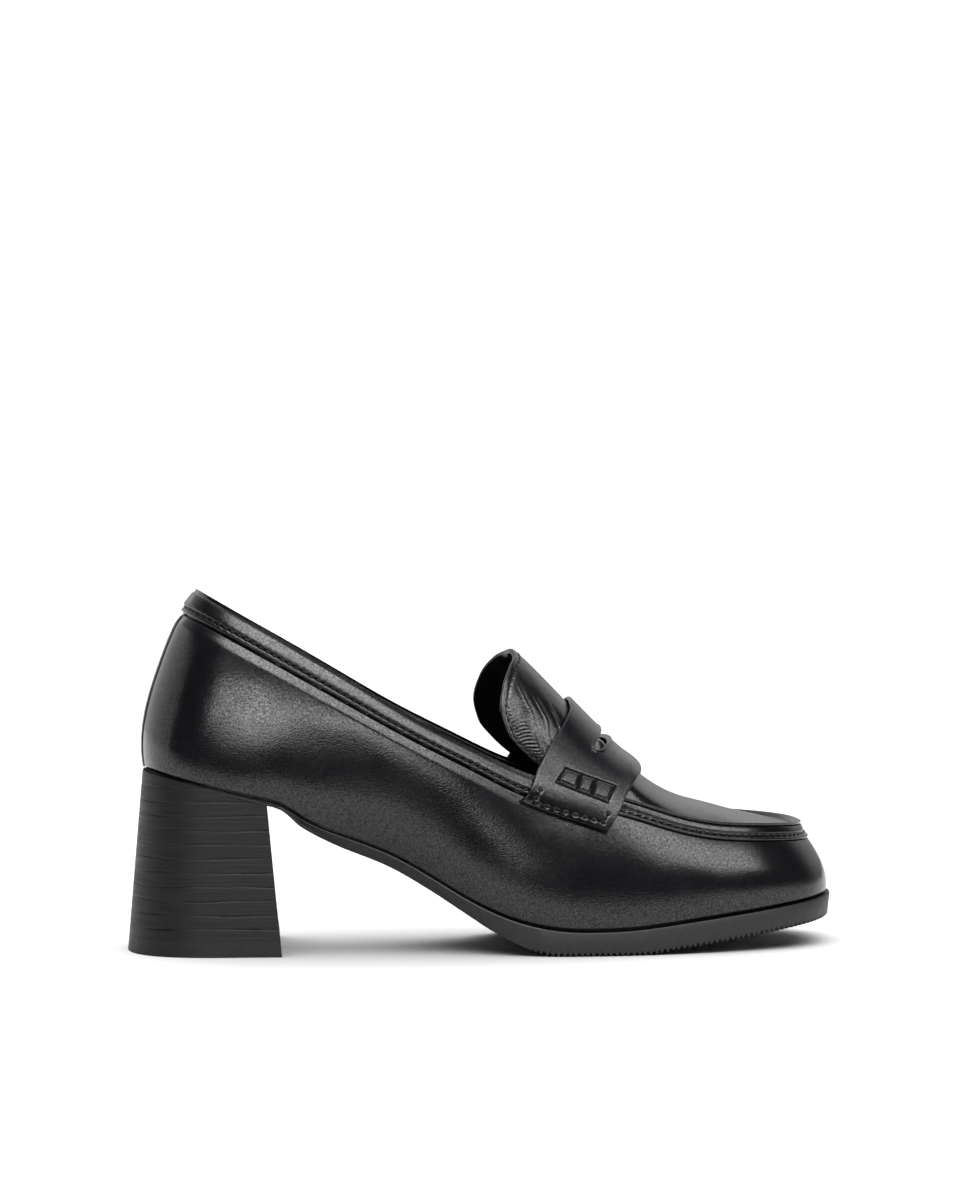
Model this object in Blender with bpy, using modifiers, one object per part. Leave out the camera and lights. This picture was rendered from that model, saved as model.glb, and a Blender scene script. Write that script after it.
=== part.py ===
"""Block-heeled penny loafer for the right foot, built as separate named solids.

Sizes are millimetres, and place() turns them into Blender's metres. Stations run along the
shoe from the back of the heel's foot (0) to the toe. X points to the toe, Y to the inner side
of the foot and Z up, and the shoe stands on Z = 0.
"""

from collections import namedtuple
import math

import bmesh
import bpy
import numpy as np

# Driving sizes
MM = 0.001
LENGTH = 243.0
CENTRE_X = 121.4
CENTRE_Y = -4.4
SWING = 5.5
GAP = 0.3

# Leather and board thicknesses
WALL = 1.8
BAND_THICK = 1.1
STAY_THICK = 0.8
TONGUE_THICK = 1.8
STRAP_THICK = 1.5
INSOLE_THICK = 2.2

# Strips on the upper: the raised seam round the plug, the collar band and the back stay
SEAM_STEP = 0.9
SEAM_STARTS = 162.0
SEAM_FULL = 171.0
SEAM_SLOPE = 0.5
SEAM_MIDDLE = 0.45
BAND_UNDER_STRAP = 3.0
BAND_BELOW_RIM = 0.2
STAY_HALF = 3.2
STAY_DROP = 60.0
INSOLE_INSET = 3.0

# Where the plug starts under the strap, and where its middle line ends behind the toe
THROAT = 168.0
SPINE_END = 217.0

# Where the wall's profile turns, as shares of its height from the foot and from the top
KNEE_RISE = 0.30
SHOULDER_DROP = 0.35

# Heel block: the wearing piece, the squareness of its round back and where its sides start
TOP_PIECE = 5.0
HEEL_ROUND = 2.5
HEEL_SIDE_FROM = 0.62

# Mesh steps
PER_SECTION = 3
WALL_STEPS = 7
ACROSS = 5
PLUG_ROWS = [0.03, 0.12, 0.32, 0.62, 1.0]
BAND_COLUMNS = 58
BAND_STEPS = 2
STAY_COLUMNS = 4
STAY_STEPS = 8
TONGUE_COLUMNS = 19
TONGUE_STEPS = 12
STRAP_COLUMNS = 33
STRAP_LINES = 8
HEEL_POINTS = 30
HEEL_STEPS = 5
SAMPLES = 800
SHARP_ANGLE = 40.0

# One row for each section of the last, heel back to toe: the foot of the wall, its top line,
# how far the wall bellies out above its foot, how far it still stands out below its top, and
# how wide the strip along its top is. Widths run from the centre line to each side.
Section = namedtuple(
    "Section",
    "foot_x outer_foot inner_foot top_x outer_top inner_top outer_z inner_z"
    " outer_belly inner_belly lean strip",
)
SECTIONS = [
    Section(6.0, 0.0, 0.0, 23.4, 0.0, 0.0, 121.4, 121.4, 3.5, 3.5, 11.2, 8.2),
    Section(7.4, 10.5, 10.5, 24.8, 8.2, 8.2, 120.6, 120.6, 3.6, 3.6, 10.4, 8.2),
    Section(12.8, 20.3, 20.3, 29.0, 15.2, 15.2, 118.2, 118.2, 3.8, 3.8, 8.2, 8.2),
    Section(25.0, 25.8, 25.8, 39.2, 20.6, 20.6, 112.2, 112.3, 4.0, 4.0, 5.4, 8.0),
    Section(50.0, 26.6, 25.8, 59.0, 24.8, 24.2, 100.5, 101.0, 4.8, 5.2, 3.6, 7.6),
    Section(70.0, 24.8, 21.4, 77.0, 27.3, 26.5, 89.6, 90.4, 6.0, 7.5, 3.0, 6.9),
    Section(90.0, 25.6, 20.0, 95.0, 29.4, 28.8, 78.6, 80.0, 6.5, 9.0, 2.8, 5.9),
    Section(112.0, 31.0, 24.0, 115.0, 31.0, 31.0, 68.2, 69.8, 5.0, 8.0, 3.5, 5.8),
    Section(133.0, 36.8, 32.8, 134.0, 31.8, 32.6, 59.6, 60.8, 3.0, 5.0, 5.5, 6.6),
    Section(152.0, 39.3, 38.0, 151.0, 32.0, 33.2, 55.0, 55.6, 1.6, 2.6, 7.0, 6.2),
    Section(171.0, 39.4, 39.2, THROAT, 31.8, 33.0, 50.4, 50.7, 1.2, 2.0, 8.0, 5.7),
    Section(189.0, 38.0, 38.4, 184.0, 31.0, 32.0, 45.2, 45.4, 1.6, 2.0, 8.0, 5.6),
    Section(206.0, 35.2, 35.4, 199.0, 29.2, 29.8, 42.2, 42.4, 2.5, 2.5, 7.6, 5.6),
    Section(221.0, 31.0, 31.0, 213.0, 26.0, 26.2, 41.2, 41.3, 2.2, 2.2, 7.0, 5.6),
    Section(232.8, 24.2, 24.0, 224.2, 20.0, 20.0, 40.6, 40.6, 1.9, 1.9, 6.5, 5.6),
    Section(239.5, 13.6, 13.6, 229.9, 11.4, 11.4, 40.2, 40.2, 1.6, 1.6, 6.5, 5.6),
    Section(241.5, 0.0, 0.0, 231.5, 0.0, 0.0, 40.0, 40.0, 1.5, 1.5, 6.5, 5.6),
]

# The outsole from the side, and how far its edge stands out from the foot of the wall.
Sole = namedtuple("Sole", "station top bottom edge bevel")
SOLE = [
    Sole(4.0, 61.8, 60.4, -1.0, 0.0),
    Sole(26.0, 56.5, 55.1, -1.0, 0.0),
    Sole(44.0, 52.2, 50.8, -1.0, 0.0),
    Sole(50.0, 50.4, 49.0, -1.0, 0.0),
    Sole(57.5, 45.8, 42.8, -0.8, 2.0),
    Sole(68.4, 40.7, 36.9, -0.6, 3.0),
    Sole(86.9, 33.5, 29.2, -0.3, 3.0),
    Sole(100.6, 25.9, 21.3, 0.0, 2.6),
    Sole(111.4, 19.3, 14.2, 0.3, 2.2),
    Sole(121.2, 14.3, 7.9, 0.7, 1.6),
    Sole(129.6, 11.2, 3.6, 1.0, 1.2),
    Sole(136.5, 9.5, 0.9, 1.2, 1.0),
    Sole(142.0, 8.6, 0.0, 1.3, 0.8),
    Sole(155.0, 8.0, 0.0, 1.4, 0.8),
    Sole(169.0, 8.5, 0.0, 1.4, 0.8),
    Sole(184.0, 10.1, 1.7, 1.4, 0.8),
    Sole(199.4, 11.9, 3.7, 1.4, 0.8),
    Sole(216.7, 13.9, 6.1, 1.4, 0.8),
    Sole(244.0, 17.2, 9.8, 1.4, 0.8),
]

# The middle line of the plug, and how full its cross section is there.
Spine = namedtuple("Spine", "station height fullness")
SPINE = [
    Spine(THROAT, 65.0, 0.50),
    Spine(174.6, 59.3, 0.62),
    Spine(186.0, 52.0, 0.82),
    Spine(198.9, 47.9, 0.95),
    Spine(210.7, 44.7, 1.00),
    Spine(219.4, 42.6, 1.00),
    Spine(231.5, 40.0, 1.00),
]

# The arch of the tongue: its ridge, the height its sides run down to, and its half width.
Arch = namedtuple("Arch", "station ridge side half")
TONGUE = [
    Arch(120.0, 111.0, 57.5, 25.4),
    Arch(132.5, 100.9, 55.0, 26.0),
    Arch(142.0, 91.8, 52.8, 26.8),
    Arch(151.5, 82.0, 51.0, 27.8),
    Arch(160.0, 73.3, 50.4, 29.2),
    Arch(THROAT, 65.0, 50.4, 31.6),
]

# The free edge of the tongue: the angle around its arch and the station it reaches there.
Edge = namedtuple("Edge", "angle station")
TONGUE_EDGE = [
    Edge(0.0, 132.4),
    Edge(16.0, 131.4),
    Edge(32.0, 128.4),
    Edge(48.0, 124.8),
    Edge(60.0, 123.2),
    Edge(69.0, 125.4),
    Edge(74.0, 130.4),
    Edge(77.5, 135.6),
    Edge(82.0, 147.0),
]
TONGUE_TWIST = 2.2
TONGUE_FRONT_BOW = 5.0

# The strap's rear and front edges from the middle (0) to the end of a tab (1).
Strap = namedtuple("Strap", "across rear front")
STRAP = [
    Strap(0.00, 150.2, 172.4),
    Strap(0.20, 149.5, 172.2),
    Strap(0.40, 146.2, 171.0),
    Strap(0.72, 134.6, 165.0),
    Strap(1.00, 129.8, 158.8),
]
STRAP_ARCH = [0.0, 24.0, 46.0]
STRAP_LIFT = 0.7
STRAP_FRONT_LIFT = 1.6
STRAP_SIDE_LIFT = 1.9
STRAP_TAB_LIFT = 1.1
STRAP_LIFT_RUN = 4.0
TAB_DROP_REAR = 8.9
TAB_DROP_FRONT = 13.0
SLOT_STATION = 161.8
SLOT_HALF_LENGTH = 24.5
SLOT_WIDTH = 4.4
SLOT_BOW = 1.4
SLOT_SAG = 7.5
SLOT_DEPTHS = [-1.0, 12.0]
SLOT_POINTS = 28

# Plan of the heel block at the floor and under the sole, in the heel's own axis
HeelPlan = namedtuple("HeelPlan", "back breast half")
HEEL_FLOOR = HeelPlan(0.4, 52.4, 30.0)
HEEL_TOP = HeelPlan(5.5, 47.4, 25.5)
HEEL_PIVOT = 27.0

# Colours, as linear red, green and blue, with roughness
LEATHER = ((0.012, 0.012, 0.013, 1.0), 0.38)
LINING = ((0.010, 0.010, 0.010, 1.0), 0.80)
STACK = ((0.022, 0.021, 0.021, 1.0), 0.55)
RUBBER = ((0.014, 0.014, 0.014, 1.0), 0.60)


def column(rows, name):
    """One named column of a table, as an array."""
    return np.array([getattr(row, name) for row in rows])


def spline(knots, values):
    """A curve of continuous curvature through the values, straight at both ends."""
    knots = np.asarray(knots, float)
    values = np.asarray(values, float)
    count = len(knots)
    step = np.diff(knots)
    matrix = np.eye(count)
    right = np.zeros(count)
    slope = np.diff(values) / step
    for i in range(1, count - 1):
        matrix[i, i - 1] = step[i - 1]
        matrix[i, i] = 2.0 * (step[i - 1] + step[i])
        matrix[i, i + 1] = step[i]
        right[i] = 6.0 * (slope[i] - slope[i - 1])
    bend = np.linalg.solve(matrix, right)

    def curve(at):
        at = np.asarray(at, float)
        inside = np.clip(at, knots[0], knots[-1])
        i = np.clip(np.searchsorted(knots, inside) - 1, 0, count - 2)
        left = inside - knots[i]
        rest = knots[i + 1] - inside
        cubic = (bend[i] * rest**3 + bend[i + 1] * left**3) / (6.0 * step[i])
        line_left = (values[i] / step[i] - bend[i] * step[i] / 6.0) * rest
        line_right = (values[i + 1] / step[i] - bend[i + 1] * step[i] / 6.0) * left
        return cubic + line_left + line_right

    return curve


def round_spline(knots, values, turn):
    """The same curve for a closed loop of length turn, repeated to hide its ends."""
    knots = np.asarray(knots, float)
    values = np.asarray(values, float)
    repeated = spline(
        np.concatenate([knots - turn, knots, knots + turn]),
        np.concatenate([values, values, values]),
    )
    return lambda at: repeated(np.mod(at, turn))


def steady(knots, values):
    """A curve through the values that never overshoots, so a flat stretch stays flat."""
    knots = np.asarray(knots, float)
    values = np.asarray(values, float)
    step = np.diff(knots)
    slope = np.diff(values) / step
    tangent = np.zeros(len(knots))
    tangent[0] = slope[0]
    tangent[-1] = slope[-1]
    for i in range(1, len(knots) - 1):
        if slope[i - 1] * slope[i] > 0.0:
            tangent[i] = 2.0 / (1.0 / slope[i - 1] + 1.0 / slope[i])

    def curve(at):
        inside = np.clip(np.asarray(at, float), knots[0], knots[-1])
        i = np.clip(np.searchsorted(knots, inside) - 1, 0, len(knots) - 2)
        t = (inside - knots[i]) / step[i]
        rise = values[i] * (1.0 + 2.0 * t) * (1.0 - t) ** 2 + values[i + 1] * t * t * (3.0 - 2.0 * t)
        turn = tangent[i] * t * (1.0 - t) ** 2 - tangent[i + 1] * t * t * (1.0 - t)
        return rise + turn * step[i]

    return curve


def table_curve(rows, name, kind=spline):
    """The curve of one column of a table over its first column."""
    return kind(column(rows, rows[0]._fields[0]), column(rows, name))


def smooth_step(at, low, high):
    """0 below low, 1 above high, smooth between."""
    t = np.clip((np.asarray(at, float) - low) / (high - low), 0.0, 1.0)
    return t * t * (3.0 - 2.0 * t)


def unit(vectors):
    """Vectors scaled to length 1."""
    return vectors / np.linalg.norm(vectors, axis=-1, keepdims=True)


def centre_line(station):
    """The shoe's middle, which bows to the outer side as the last of a right foot does."""
    return -SWING * np.sin(np.pi * np.asarray(station, float) / LENGTH)


sole_top = table_curve(SOLE, "top")
sole_bottom = table_curve(SOLE, "bottom", steady)
sole_edge = table_curve(SOLE, "edge", steady)
sole_bevel = table_curve(SOLE, "bevel", steady)
spine_height = table_curve(SPINE, "height")
spine_fullness = table_curve(SPINE, "fullness", steady)
arch_ridge = table_curve(TONGUE, "ridge")
arch_side = table_curve(TONGUE, "side")
arch_half = table_curve(TONGUE, "half")
tongue_reach = table_curve(TONGUE_EDGE, "station", steady)
strap_rear = table_curve(STRAP, "rear", steady)
strap_front = table_curve(STRAP, "front", steady)


class Last:
    """The outside of the upper's wall, as a loop from the heel back around the outer side,
    the toe and the inner side. A place on it is a loop position and a height from 0 to 1."""

    def __init__(self):
        outer = SECTIONS
        inner = SECTIONS[-2:0:-1]
        rows = outer + inner
        foot_x = column(rows, "foot_x")
        top_x = column(rows, "top_x")
        foot_y = self.both(outer, inner, "outer_foot", "inner_foot", foot_x)
        top_y = self.both(outer, inner, "outer_top", "inner_top", top_x)
        top_z = np.concatenate([column(outer, "outer_z"), column(inner, "inner_z")])
        belly = np.concatenate([column(outer, "outer_belly"), column(inner, "inner_belly")])
        around_x = np.append(foot_x, foot_x[0])
        around_y = np.append(foot_y, foot_y[0])
        steps = np.hypot(np.diff(around_x), np.diff(around_y))
        self.knots = np.concatenate([[0.0], np.cumsum(steps)[:-1]])
        self.turn = float(np.sum(steps))
        self.middle = self.knots[len(SECTIONS) - 1]
        self.foot_x = self.around(foot_x)
        self.foot_y = self.around(foot_y)
        self.top_x = self.around(top_x)
        self.top_y = self.around(top_y)
        self.top_z = self.around(top_z)
        self.belly = self.around(belly)
        self.lean = self.around(column(rows, "lean"))
        self.strip = self.around(column(rows, "strip"))

    def around(self, values):
        """A smooth closed curve through one value for each section."""
        return round_spline(self.knots, values, self.turn)

    @staticmethod
    def both(outer, inner, outer_name, inner_name, stations):
        """Distances from the centre line on both sides, as places across the shoe."""
        sides = np.concatenate([-column(outer, outer_name), column(inner, inner_name)])
        return centre_line(stations) + sides

    def positions(self, per_section):
        """Loop positions with the same number of steps in each section."""
        ends = np.append(self.knots, self.turn)
        share = np.arange(per_section) / per_section
        starts = ends[:-1, None]
        return (starts + np.diff(ends)[:, None] * share).ravel()

    def outward(self, x_curve, y_curve, at):
        """Level direction out of a closed line around the shoe."""
        reach = 0.2
        along_x = x_curve(at + reach) - x_curve(at - reach)
        along_y = y_curve(at + reach) - y_curve(at - reach)
        return unit(np.stack([along_y, -along_x], axis=-1))

    def foot(self, at, margin=0.0):
        """The foot of the wall in plan, moved outwards by margin."""
        plan = np.stack([self.foot_x(at), self.foot_y(at)], axis=-1)
        return plan + self.outward(self.foot_x, self.foot_y, at) * np.asarray(margin)[..., None]

    def point(self, at, height):
        """Points of the wall, without its raised strips."""
        at, height = np.broadcast_arrays(np.asarray(at, float), np.asarray(height, float))
        foot_x = self.foot_x(at)
        low = np.stack([foot_x, self.foot_y(at), sole_top(foot_x) + GAP], axis=-1)
        high = np.stack([self.top_x(at), self.top_y(at), self.top_z(at)], axis=-1)
        tall = (high - low)[..., 2:]
        out_low = self.outward(self.foot_x, self.foot_y, at) * self.belly(at)[..., None]
        out_high = self.outward(self.top_x, self.top_y, at) * self.lean(at)[..., None]
        knee = low + np.concatenate([out_low, KNEE_RISE * tall], axis=-1)
        shoulder = high + np.concatenate([out_high, -SHOULDER_DROP * tall], axis=-1)
        t = height[..., None]
        lower = (1.0 - t) ** 3 * low + 3.0 * (1.0 - t) ** 2 * t * knee
        return lower + 3.0 * (1.0 - t) * t * t * shoulder + t**3 * high

    def normal(self, at, height):
        """Direction out of the wall."""
        at, height = np.broadcast_arrays(np.asarray(at, float), np.asarray(height, float))
        above = np.minimum(height + 0.01, 1.0)
        along = self.point(at + 0.2, height) - self.point(at - 0.2, height)
        up = self.point(at, above) - self.point(at, above - 0.02)
        return unit(np.cross(along, up))

    def below_top(self, at, distance):
        """Heights that lie a distance below the top line, measured down the wall."""
        heights = np.linspace(1.0, 0.0, 60)
        at, distance = np.broadcast_arrays(np.asarray(at, float), np.asarray(distance, float))
        found = np.empty(at.shape)
        for place in np.ndindex(at.shape):
            line = self.point(at[place], heights)
            run = np.concatenate([[0.0], np.cumsum(np.linalg.norm(np.diff(line, axis=0), axis=1))])
            found[place] = np.interp(distance[place], run, heights)
        return found

    def at_station(self, station, height, inner):
        """Loop position where the wall passes a station at a height, on one side."""
        span = self.side_span(inner)
        return np.interp(station, self.point(span, height)[:, 0], span)

    def side_span(self, inner):
        """Loop positions down one side, from the heel back to the toe."""
        return np.linspace(self.turn if inner else 0.0, self.middle, SAMPLES)

    def off_wall(self, at, height, lift):
        """Points that stand a distance off the wall."""
        return self.point(at, height) + self.normal(at, height) * np.asarray(lift)[..., None]


LAST = Last()


def place(points):
    """Millimetres of the shoe's own stations as metres about the middle of its footprint."""
    return (np.asarray(points, float) - np.array([CENTRE_X, CENTRE_Y, 0.0])) * MM


def material(name, finish):
    """A plain Principled material."""
    made = bpy.data.materials.new(name)
    made.use_nodes = True
    shader = made.node_tree.nodes["Principled BSDF"]
    shader.inputs["Base Color"].default_value = finish[0]
    shader.inputs["Roughness"].default_value = finish[1]
    return made


def new_object(name, points, faces, finish, collection):
    """A mesh object from points in millimetres, with doubled points joined."""
    mesh = bpy.data.meshes.new(name)
    mesh.from_pydata([tuple(p) for p in place(points)], [], faces)
    shape = bmesh.new()
    shape.from_mesh(mesh)
    bmesh.ops.remove_doubles(shape, verts=shape.verts, dist=1e-6)
    bmesh.ops.dissolve_degenerate(shape, edges=shape.edges, dist=1e-7)
    shape.to_mesh(mesh)
    shape.free()
    mesh.shade_smooth()
    mesh.set_sharp_from_angle(angle=math.radians(SHARP_ANGLE))
    made = bpy.data.objects.new(name, mesh)
    made.data.materials.append(material(name + "_finish", finish))
    collection.objects.link(made)
    return made


def grid_faces(rows, columns, start=0, closed=False):
    """Quads of a grid stored row by row, wrapped round in the columns where closed."""
    faces = []
    wide = columns if closed else columns - 1
    for r in range(rows - 1):
        for c in range(wide):
            n = (c + 1) % columns
            low = start + r * columns
            high = low + columns
            faces.append((low + c, low + n, high + n, high + c))
    return faces


def solidify(made, thickness, side):
    """Give an open surface a thickness: side is -1 inwards and 1 outwards."""
    shell = made.modifiers.new("thickness", "SOLIDIFY")
    shell.thickness = thickness * MM
    shell.offset = side
    shell.use_even_offset = True
    shell.use_quality_normals = True


def plug_height(x, y):
    """Height of the plug, crowned between the seam lines and its middle line."""
    halves = []
    edges = []
    for inner in (False, True):
        line = LAST.point(LAST.side_span(inner), 1.0)
        halves.append(np.interp(x, line[:, 0], np.abs(line[:, 1] - centre_line(line[:, 0]))))
        edges.append(np.interp(x, line[:, 0], line[:, 2]))
    on_inner = y > centre_line(x)
    half = np.where(on_inner, halves[1], halves[0])
    edge = np.where(on_inner, edges[1], edges[0])
    share = np.clip(np.abs(y - centre_line(x)) / np.maximum(half, 1e-6), 0.0, 1.0)
    crown = (1.0 - share**2) ** spine_fullness(x)
    return edge + (spine_height(x) - edge) * crown


def build_upper(collection):
    """Vamp, plug and quarters as one wall, open at the throat and underneath."""
    at = LAST.positions(PER_SECTION)
    count = len(at)
    raised = SEAM_STEP * smooth_step(LAST.top_x(at), SEAM_STARTS, SEAM_FULL)
    width = LAST.strip(at)
    seam_foot = LAST.below_top(at, width)
    rows = [LAST.point(at, seam_foot * k / WALL_STEPS) for k in range(WALL_STEPS + 1)]
    for drop in (width - SEAM_SLOPE, SEAM_MIDDLE * width, 0.0):
        rows.append(LAST.off_wall(at, LAST.below_top(at, drop), raised))
    faces = grid_faces(len(rows), count, closed=True)
    top_row = (len(rows) - 1) * count
    points = list(np.concatenate(rows))

    throat = PER_SECTION * [row.top_x for row in SECTIONS].index(THROAT)
    toe = PER_SECTION * (len(SECTIONS) - 1)
    columns = np.arange(throat, 2 * toe - throat + 1)
    edge = LAST.point(at[columns], 1.0)
    mirrored = edge[::-1]
    stations = 0.5 * (edge[:, 0] + mirrored[:, 0])
    share = (stations - THROAT) / (SECTIONS[-1].top_x - THROAT)
    spine_x = THROAT + share * (SPINE_END - THROAT)
    spine = np.stack([spine_x, centre_line(spine_x)], axis=-1)
    below = top_row + columns
    for inward in PLUG_ROWS:
        plan = edge[:, :2] * (1.0 - inward) + spine * inward
        height = plug_height(plan[:, 0], plan[:, 1])
        here = len(points) + np.arange(len(columns))
        points.extend(np.column_stack([plan, height]))
        for c in range(len(columns) - 1):
            faces.append((below[c], below[c + 1], here[c + 1], here[c]))
        below = here
    made = new_object("upper", np.array(points), faces, LEATHER, collection)
    solidify(made, WALL, -1.0)


def build_strip(name, at, low, high, steps, thickness, collection):
    """A strip that lies a gap off the wall, between two heights."""
    lift = np.full(len(at), GAP)
    lines = [LAST.off_wall(at, low + (high - low) * k / steps, lift) for k in range(steps + 1)]
    faces = grid_faces(steps + 1, len(at))
    made = new_object(name, np.concatenate(lines), faces, LEATHER, collection)
    solidify(made, thickness, 1.0)


def build_collar_band(collection):
    """Band along the topline, from under one end of the strap round the heel to the other."""
    stop = STRAP[-2].rear + BAND_UNDER_STRAP
    start = LAST.at_station(stop, 1.0, True)
    end = LAST.at_station(stop, 1.0, False) + LAST.turn
    at = np.linspace(start, end, BAND_COLUMNS)
    low = LAST.below_top(at, LAST.strip(at))
    high = LAST.below_top(at, BAND_BELOW_RIM)
    build_strip("collar_band", at, low, high, BAND_STEPS, BAND_THICK, collection)


def build_back_stay(collection):
    """Narrow strip down the back seam, from the collar band to the heel seat."""
    at = np.linspace(-STAY_HALF, STAY_HALF, STAY_COLUMNS)
    low = LAST.below_top(at, STAY_DROP)
    high = LAST.below_top(at, LAST.strip(at) + 2.0 * GAP)
    build_strip("back_stay", at, low, high, STAY_STEPS, STAY_THICK, collection)


def tongue_point(station, angle):
    """Outside of the tongue: an arch over the instep."""
    turn = np.radians(angle)
    side = arch_side(station)
    y = centre_line(station) + arch_half(station) * np.sin(turn)
    z = side + (arch_ridge(station) - side) * np.cos(turn)
    return np.stack([station, y, z], axis=-1)


def build_tongue(collection):
    """Tongue from the plug's rear edge, under the strap, up to its free rounded edge."""
    limit = TONGUE_EDGE[-1].angle
    angles = np.linspace(-limit, limit, TONGUE_COLUMNS)
    front = THROAT - 2.0 * GAP - TONGUE_FRONT_BOW * (1.0 - np.cos(np.radians(angles)))
    reach = tongue_reach(np.abs(angles)) - TONGUE_TWIST * np.sin(np.radians(angles))
    shares = np.arange(TONGUE_STEPS + 1) / TONGUE_STEPS
    lines = [tongue_point(front + (reach - front) * share, angles) for share in shares]
    faces = grid_faces(len(lines), len(angles))
    made = new_object("tongue", np.concatenate(lines), faces, LEATHER, collection)
    solidify(made, TONGUE_THICK, -1.0)


def instep_point(station, angle):
    """Outside of tongue and plug together, at an angle from the middle."""
    station, angle = np.broadcast_arrays(np.asarray(station, float), np.asarray(angle, float))
    on_tongue = tongue_point(np.minimum(station, THROAT), angle)
    y = centre_line(station) + arch_half(THROAT) * np.sin(np.radians(angle))
    on_plug = np.stack([station, y, plug_height(station, y)], axis=-1)
    return np.where((station < THROAT)[..., None], on_tongue, on_plug)


def strap_section(stations, inner):
    """Lines of the strap's underside from the middle to a tab."""
    forward = smooth_step(stations, THROAT - STRAP_LIFT_RUN, THROAT + STRAP_LIFT_RUN)
    lift = STRAP_LIFT + (STRAP_FRONT_LIFT - STRAP_LIFT) * forward
    lines = []
    for side_angle in STRAP_ARCH:
        angle = side_angle if inner else -side_angle
        here = instep_point(stations, angle)
        ahead = instep_point(stations + 0.5, angle) - instep_point(stations - 0.5, angle)
        aside = instep_point(stations, angle + 1.0) - instep_point(stations, angle - 1.0)
        lines.append(here + unit(np.cross(ahead, aside)) * lift[:, None])
    tab_end = [STRAP[-1].rear, STRAP[-1].front]
    tab_drop = np.interp(stations, tab_end, [TAB_DROP_REAR, TAB_DROP_FRONT])
    for drop, off in ((0.0 * tab_drop, STRAP_SIDE_LIFT), (tab_drop, STRAP_TAB_LIFT)):
        at = LAST.at_station(stations, 1.0, inner)
        height = LAST.below_top(at, drop)
        at = np.array([LAST.at_station(s, h, inner) for s, h in zip(stations, height)])
        lines.append(LAST.off_wall(at, height, np.full(len(at), off)))
    return lines


def strap_point(across, along):
    """Underside of the strap: across runs from -1 (outer tab) to 1, along from rear to front."""
    rear = strap_rear(abs(across))
    station = rear + (strap_front(abs(across)) - rear) * np.atleast_1d(along)
    places = column(STRAP, "across")
    knots = np.concatenate([-places[:0:-1], places])
    lines = strap_section(station, False)[:0:-1] + strap_section(station, True)
    lines = np.stack(lines)
    result = np.empty((len(station), 3))
    for i in range(len(station)):
        for axis in range(3):
            result[i, axis] = spline(knots, lines[:, i, axis])(across)
    return result


def build_slot_cutter(collection):
    """Long rounded prism that cuts the strap's slot, standing along the strap's own normal."""
    here = instep_point(SLOT_STATION, 0.0)
    ahead = instep_point(SLOT_STATION + 1.0, 0.0) - instep_point(SLOT_STATION - 1.0, 0.0)
    tilt = math.atan2(ahead[2], ahead[0])
    turn = 2.0 * np.pi * np.arange(SLOT_POINTS) / SLOT_POINTS
    share = np.cos(turn)
    half = 0.5 * SLOT_WIDTH * np.sign(np.sin(turn)) * np.sqrt(np.abs(np.sin(turn)))
    rings = []
    for depth in SLOT_DEPTHS:
        rise = depth - SLOT_SAG * share**2
        forward = half * math.cos(tilt) - rise * math.sin(tilt) - SLOT_BOW * share**2
        upward = half * math.sin(tilt) + rise * math.cos(tilt)
        aside = share * SLOT_HALF_LENGTH
        rings.append(np.column_stack([here[0] + forward, here[1] + aside, here[2] + upward]))
    faces = grid_faces(2, SLOT_POINTS, closed=True)
    faces.append(tuple(range(SLOT_POINTS - 1, -1, -1)))
    faces.append(tuple(range(SLOT_POINTS, 2 * SLOT_POINTS)))
    cutter = new_object("slot_cutter", np.concatenate(rings), faces, LEATHER, collection)
    shape = bmesh.new()
    shape.from_mesh(cutter.data)
    bmesh.ops.recalc_face_normals(shape, faces=shape.faces)
    shape.to_mesh(cutter.data)
    shape.free()
    cutter.hide_render = True
    cutter.display_type = "WIRE"
    return cutter


def build_saddle_strap(collection, cutters):
    """Strap over the instep, with a slot in the middle and a tab on each side."""
    across = np.linspace(-1.0, 1.0, STRAP_COLUMNS)
    along = np.linspace(0.0, 1.0, STRAP_LINES)
    lines = [strap_point(a, along) for a in across]
    faces = grid_faces(len(across), len(along))
    made = new_object("saddle_strap", np.concatenate(lines), faces, LEATHER, collection)
    solidify(made, STRAP_THICK, 1.0)
    made.modifiers.new("flat_faces", "TRIANGULATE")
    cut = made.modifiers.new("slot", "BOOLEAN")
    cut.operation = "DIFFERENCE"
    cut.solver = "EXACT"
    cut.object = build_slot_cutter(cutters)


def build_ladder(name, top_margin, bottom_margin, top, bottom, finish, collection):
    """A layer that follows the foot of the wall: rungs across it on top and underneath."""
    at = LAST.positions(PER_SECTION)
    half = len(at) // 2
    points = []
    faces = []
    share = np.linspace(0.0, 1.0, ACROSS + 1)[None, :, None]
    outlines = []
    for margin, height in ((top_margin, top), (bottom_margin, bottom)):
        ring = LAST.foot(at, margin(LAST.foot_x(at)))
        outer = ring[: half + 1, None]
        inner = np.concatenate([ring[:1], ring[:half - 1:-1]])[:, None]
        plan = (outer * (1.0 - share) + inner * share).reshape(-1, 2)
        outlines.append(len(points))
        points.extend(np.column_stack([plan, height(plan[:, 0])]))
    rung = ACROSS + 1
    upper_faces = grid_faces(half + 1, rung, outlines[0])
    faces.extend(face[::-1] for face in upper_faces)
    faces.extend(grid_faces(half + 1, rung, outlines[1]))
    for k in range(half):
        for edge, turn in ((0, 1), (ACROSS, -1)):
            a = outlines[0] + k * rung + edge
            b = outlines[1] + k * rung + edge
            faces.append((b, b + rung, a + rung, a)[::turn])
    new_object(name, np.array(points), faces, finish, collection)


def build_outsole(collection):
    """Outsole: thin on the heel and under the waist, thick under the forefoot, toe turned up."""
    build_ladder(
        "outsole",
        sole_edge,
        lambda x: sole_edge(x) - sole_bevel(x),
        sole_top,
        sole_bottom,
        RUBBER,
        collection,
    )


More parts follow.
